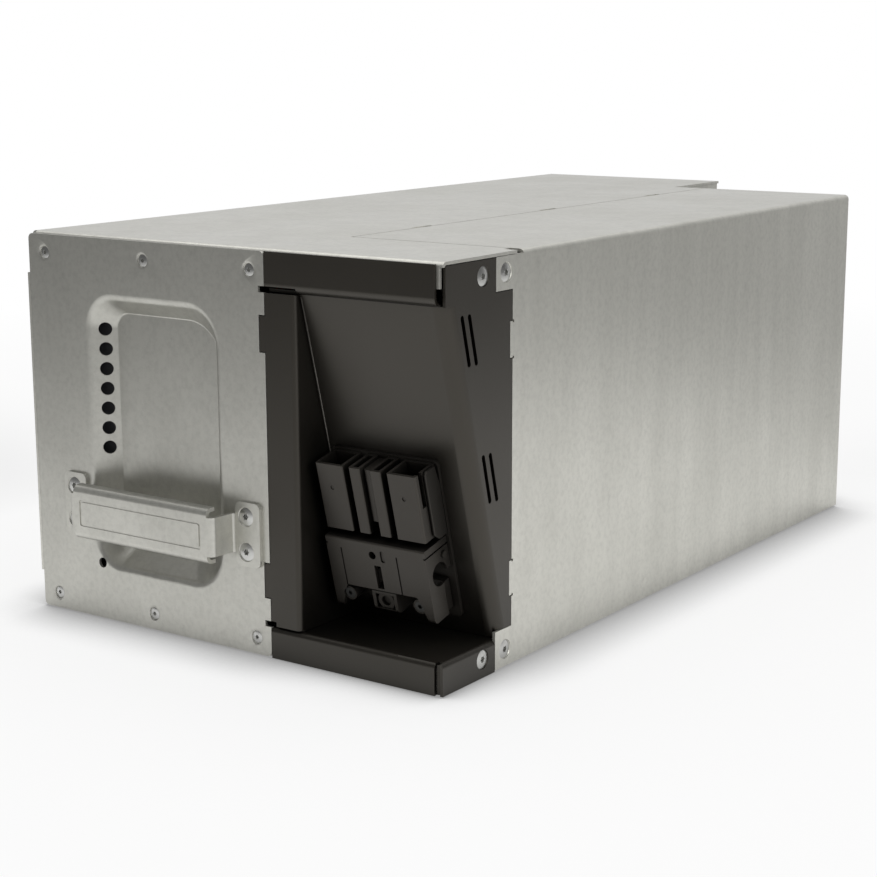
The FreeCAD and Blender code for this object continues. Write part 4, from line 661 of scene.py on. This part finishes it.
class CARTRIDGE_OT_stage(bpy.types.Operator):
    """Lays the floor, sets the soft lights and the camera"""
    bl_idname = "cartridge.stage"
    bl_label = "Stage"

    def execute(self, context):
        stage = context.scene.cartridge_stage
        self.floor(context.scene, stage)
        self.world(context.scene, stage)
        self.lights(context.scene, stage)
        self.camera(context.scene, stage)
        context.scene.view_settings.view_transform = "Standard"
        return {"FINISHED"}

    def shown(self, nodes):
        """1 for the rays that show the backdrop: camera, glossy and transmission rays."""
        path = nodes.add("ShaderNodeLightPath")
        total = (path, "Is Camera Ray")
        for ray in ("Is Glossy Ray", "Is Transmission Ray"):
            total = (nodes.add("ShaderNodeMath", {0: total, 1: (path, ray)}, operation="MAXIMUM"), 0)
        return total

    def backdrop(self, nodes, direction, room):
        """Level of the backdrop in a direction: white behind the cartridge, easing to grey elsewhere."""
        dot = nodes.add("ShaderNodeVectorMath", {0: direction, 1: WHITE_SIDE}, operation="DOT_PRODUCT")
        return (nodes.add("ShaderNodeMapRange", {"Value": (dot, "Value"), "From Min": WHITE_FROM,
                                                 "From Max": WHITE_TO, "To Min": room, "To Max": 1.0},
                          interpolation_type="SMOOTHSTEP"), 0)

    def floor(self, scene, stage):
        """Pale floor: lit like any surface, and showing the backdrop's white to camera and mirror rays.

        The white is full beside the cartridge and eases to the backdrop's own grey further out, and it
        darkens close under the sheets, where little light reaches a real floor. Beside the cartridge a
        part of it is lit as a plain white surface is, which keeps the cartridge's shadow."""
        mesh = bpy.data.meshes.new("studio_floor")
        corners = [(x * FLOOR_HALF, y * FLOOR_HALF, 0.0) for x, y in ((-1, -1), (1, -1), (1, 1), (-1, 1))]
        mesh.from_pydata(corners, [], [(0, 1, 2, 3)])
        floor = bpy.data.objects.new("studio_floor", mesh)
        scene.collection.objects.link(floor)
        graph = Graph("studio_floor")
        graph.look(Base_Color=(*stage.floor, 1.0), Roughness=0.9)
        place = graph.add("ShaderNodeTexCoord")
        flat = graph.add("ShaderNodeVectorMath", {0: (place, "Object"), 1: (1.0, 1.0, 0.0)},
                         operation="MULTIPLY")
        offset = graph.add("ShaderNodeVectorMath", {0: (flat, 0), 1: (*stage.white_center, 0.0)},
                           operation="SUBTRACT")
        reach = graph.add("ShaderNodeVectorMath", {0: (offset, 0)}, operation="LENGTH")
        away = graph.add("ShaderNodeVectorMath", {0: (flat, 0)}, operation="NORMALIZE")
        side = self.backdrop(graph, (away, 0), stage.room)
        far = graph.add("ShaderNodeMapRange", {"Value": (reach, 1), "From Min": stage.white_near,
                                               "From Max": stage.white_far})
        level = graph.add("ShaderNodeMix", {"Factor": (far, 0), 2: 1.0, 3: side})
        sky = graph.add("ShaderNodeAmbientOcclusion", {"Distance": CONTACT_REACH}, samples=16)
        dim = graph.add("ShaderNodeMapRange", {"Value": (sky, "AO"), "From Min": CONTACT_FULL,
                                               "From Max": CONTACT_NONE, "To Min": stage.contact,
                                               "To Max": 1.0})
        strength = graph.add("ShaderNodeMath", {0: (level, 0), 1: (dim, 0)}, operation="MULTIPLY")
        glow = graph.add("ShaderNodeEmission", {"Color": WHITE, "Strength": (strength, 0)})
        pale = graph.add("ShaderNodeBsdfDiffuse", {"Color": WHITE})
        distance = graph.add("ShaderNodeVectorMath", {0: (flat, 0)}, operation="LENGTH")
        glowing = graph.add("ShaderNodeMapRange", {"Value": (distance, 1), "From Min": GLOW_NEAR,
                                                   "From Max": GLOW_FAR, "To Min": GLOW_LEAST,
                                                   "To Max": 1.0})
        lit = graph.add("ShaderNodeMixShader", {"Fac": (glowing, 0), 1: (pale, 0), 2: (glow, 0)})
        seen = graph.add("ShaderNodeMixShader", {"Fac": self.shown(graph), 1: (graph.shader, 0),
                                                 2: (lit, 0)})
        graph.put((seen, 0), graph.output, 0)
        floor.data.materials.append(graph.material)

    def world(self, scene, stage):
        """Even light for the surfaces, and the backdrop for the rays that show it."""
        scene.world = bpy.data.worlds.new("studio")
        scene.world.use_nodes = True
        nodes = Nodes(scene.world.node_tree)
        place = nodes.add("ShaderNodeTexCoord")
        even = nodes.add("ShaderNodeBackground", {"Strength": stage.ambient})
        level = self.backdrop(nodes, (place, "Generated"), stage.room)
        white = nodes.add("ShaderNodeBackground", {"Color": WHITE, "Strength": level})
        choose = nodes.add("ShaderNodeMixShader", {"Fac": self.shown(nodes), 1: (even, 0), 2: (white, 0)})
        nodes.add("ShaderNodeOutputWorld", {0: (choose, 0)})

    def lights(self, scene, stage):
        """Square soft lamps, each with its power from the settings."""
        for name, place, size in LAMPS:
            light = bpy.data.lights.new(name, "AREA")
            light.shape = "SQUARE"
            light.size = size
            light.energy = getattr(stage, name)
            lamp = bpy.data.objects.new(name, light)
            lamp.location = place
            lamp.rotation_euler = (Vector(AIM) - Vector(place)).to_track_quat("-Z", "Y").to_euler()
            scene.collection.objects.link(lamp)

    def camera(self, scene, stage):
        """Camera turned by azimuth and elevation, then rolled about its line of sight."""
        lens = bpy.data.cameras.new("camera")
        lens.sensor_width = CAMERA_FRAME
        lens.lens = stage.lens / MM
        lens.clip_start = 0.01
        lens.clip_end = 20.0
        camera = bpy.data.objects.new("camera", lens)
        azimuth, elevation, roll = (math.radians(angle) for angle in CAMERA_TURN)
        forward = np.array([-math.sin(azimuth) * math.cos(elevation),
                            math.cos(azimuth) * math.cos(elevation), -math.sin(elevation)])
        right = np.array([math.cos(azimuth), math.sin(azimuth), 0.0])
        up = np.cross(right, forward)
        side = math.cos(roll) * right + math.sin(roll) * up
        head = -math.sin(roll) * right + math.cos(roll) * up
        turn = Matrix(np.stack([side, head, -forward], axis=1).tolist())
        camera.matrix_world = Matrix.Translation(CAMERA_PLACE) @ turn.to_4x4()
        scene.collection.objects.link(camera)
        scene.camera = camera


class CARTRIDGE_PT_panel(bpy.types.Panel):
    """Shows a button for each of the cartridge's steps"""
    bl_idname = "CARTRIDGE_PT_panel"
    bl_label = "Battery cartridge"
    bl_space_type = "VIEW_3D"
    bl_region_type = "UI"
    bl_category = "Cartridge"

    def draw(self, context):
        for operator in OPERATORS:
            self.layout.operator(operator.bl_idname)


OPERATORS = (CARTRIDGE_OT_galvanised, CARTRIDGE_OT_recess, CARTRIDGE_OT_fasteners,
             CARTRIDGE_OT_connector, CARTRIDGE_OT_inside, CARTRIDGE_OT_stage)
GROUPS = {"cartridge_sheet": CartridgeSheet, "cartridge_fasteners": CartridgeFasteners,
          "cartridge_connector": CartridgeConnector, "cartridge_stage": CartridgeStage}


def register():
    for item in (*GROUPS.values(), *OPERATORS, CARTRIDGE_PT_panel):
        bpy.utils.register_class(item)
    for name, group in GROUPS.items():
        setattr(bpy.types.Scene, name, bpy.props.PointerProperty(type=group))


def unregister():
    for name in GROUPS:
        delattr(bpy.types.Scene, name)
    for item in reversed((*GROUPS.values(), *OPERATORS, CARTRIDGE_PT_panel)):
        bpy.utils.unregister_class(item)


def main():
    register()
    bpy.ops.cartridge.galvanised()
    bpy.ops.cartridge.recess()
    bpy.ops.cartridge.fasteners()
    bpy.ops.cartridge.connector()
    bpy.ops.cartridge.inside()
    bpy.ops.cartridge.stage()


if __name__ == "__main__":
    main()
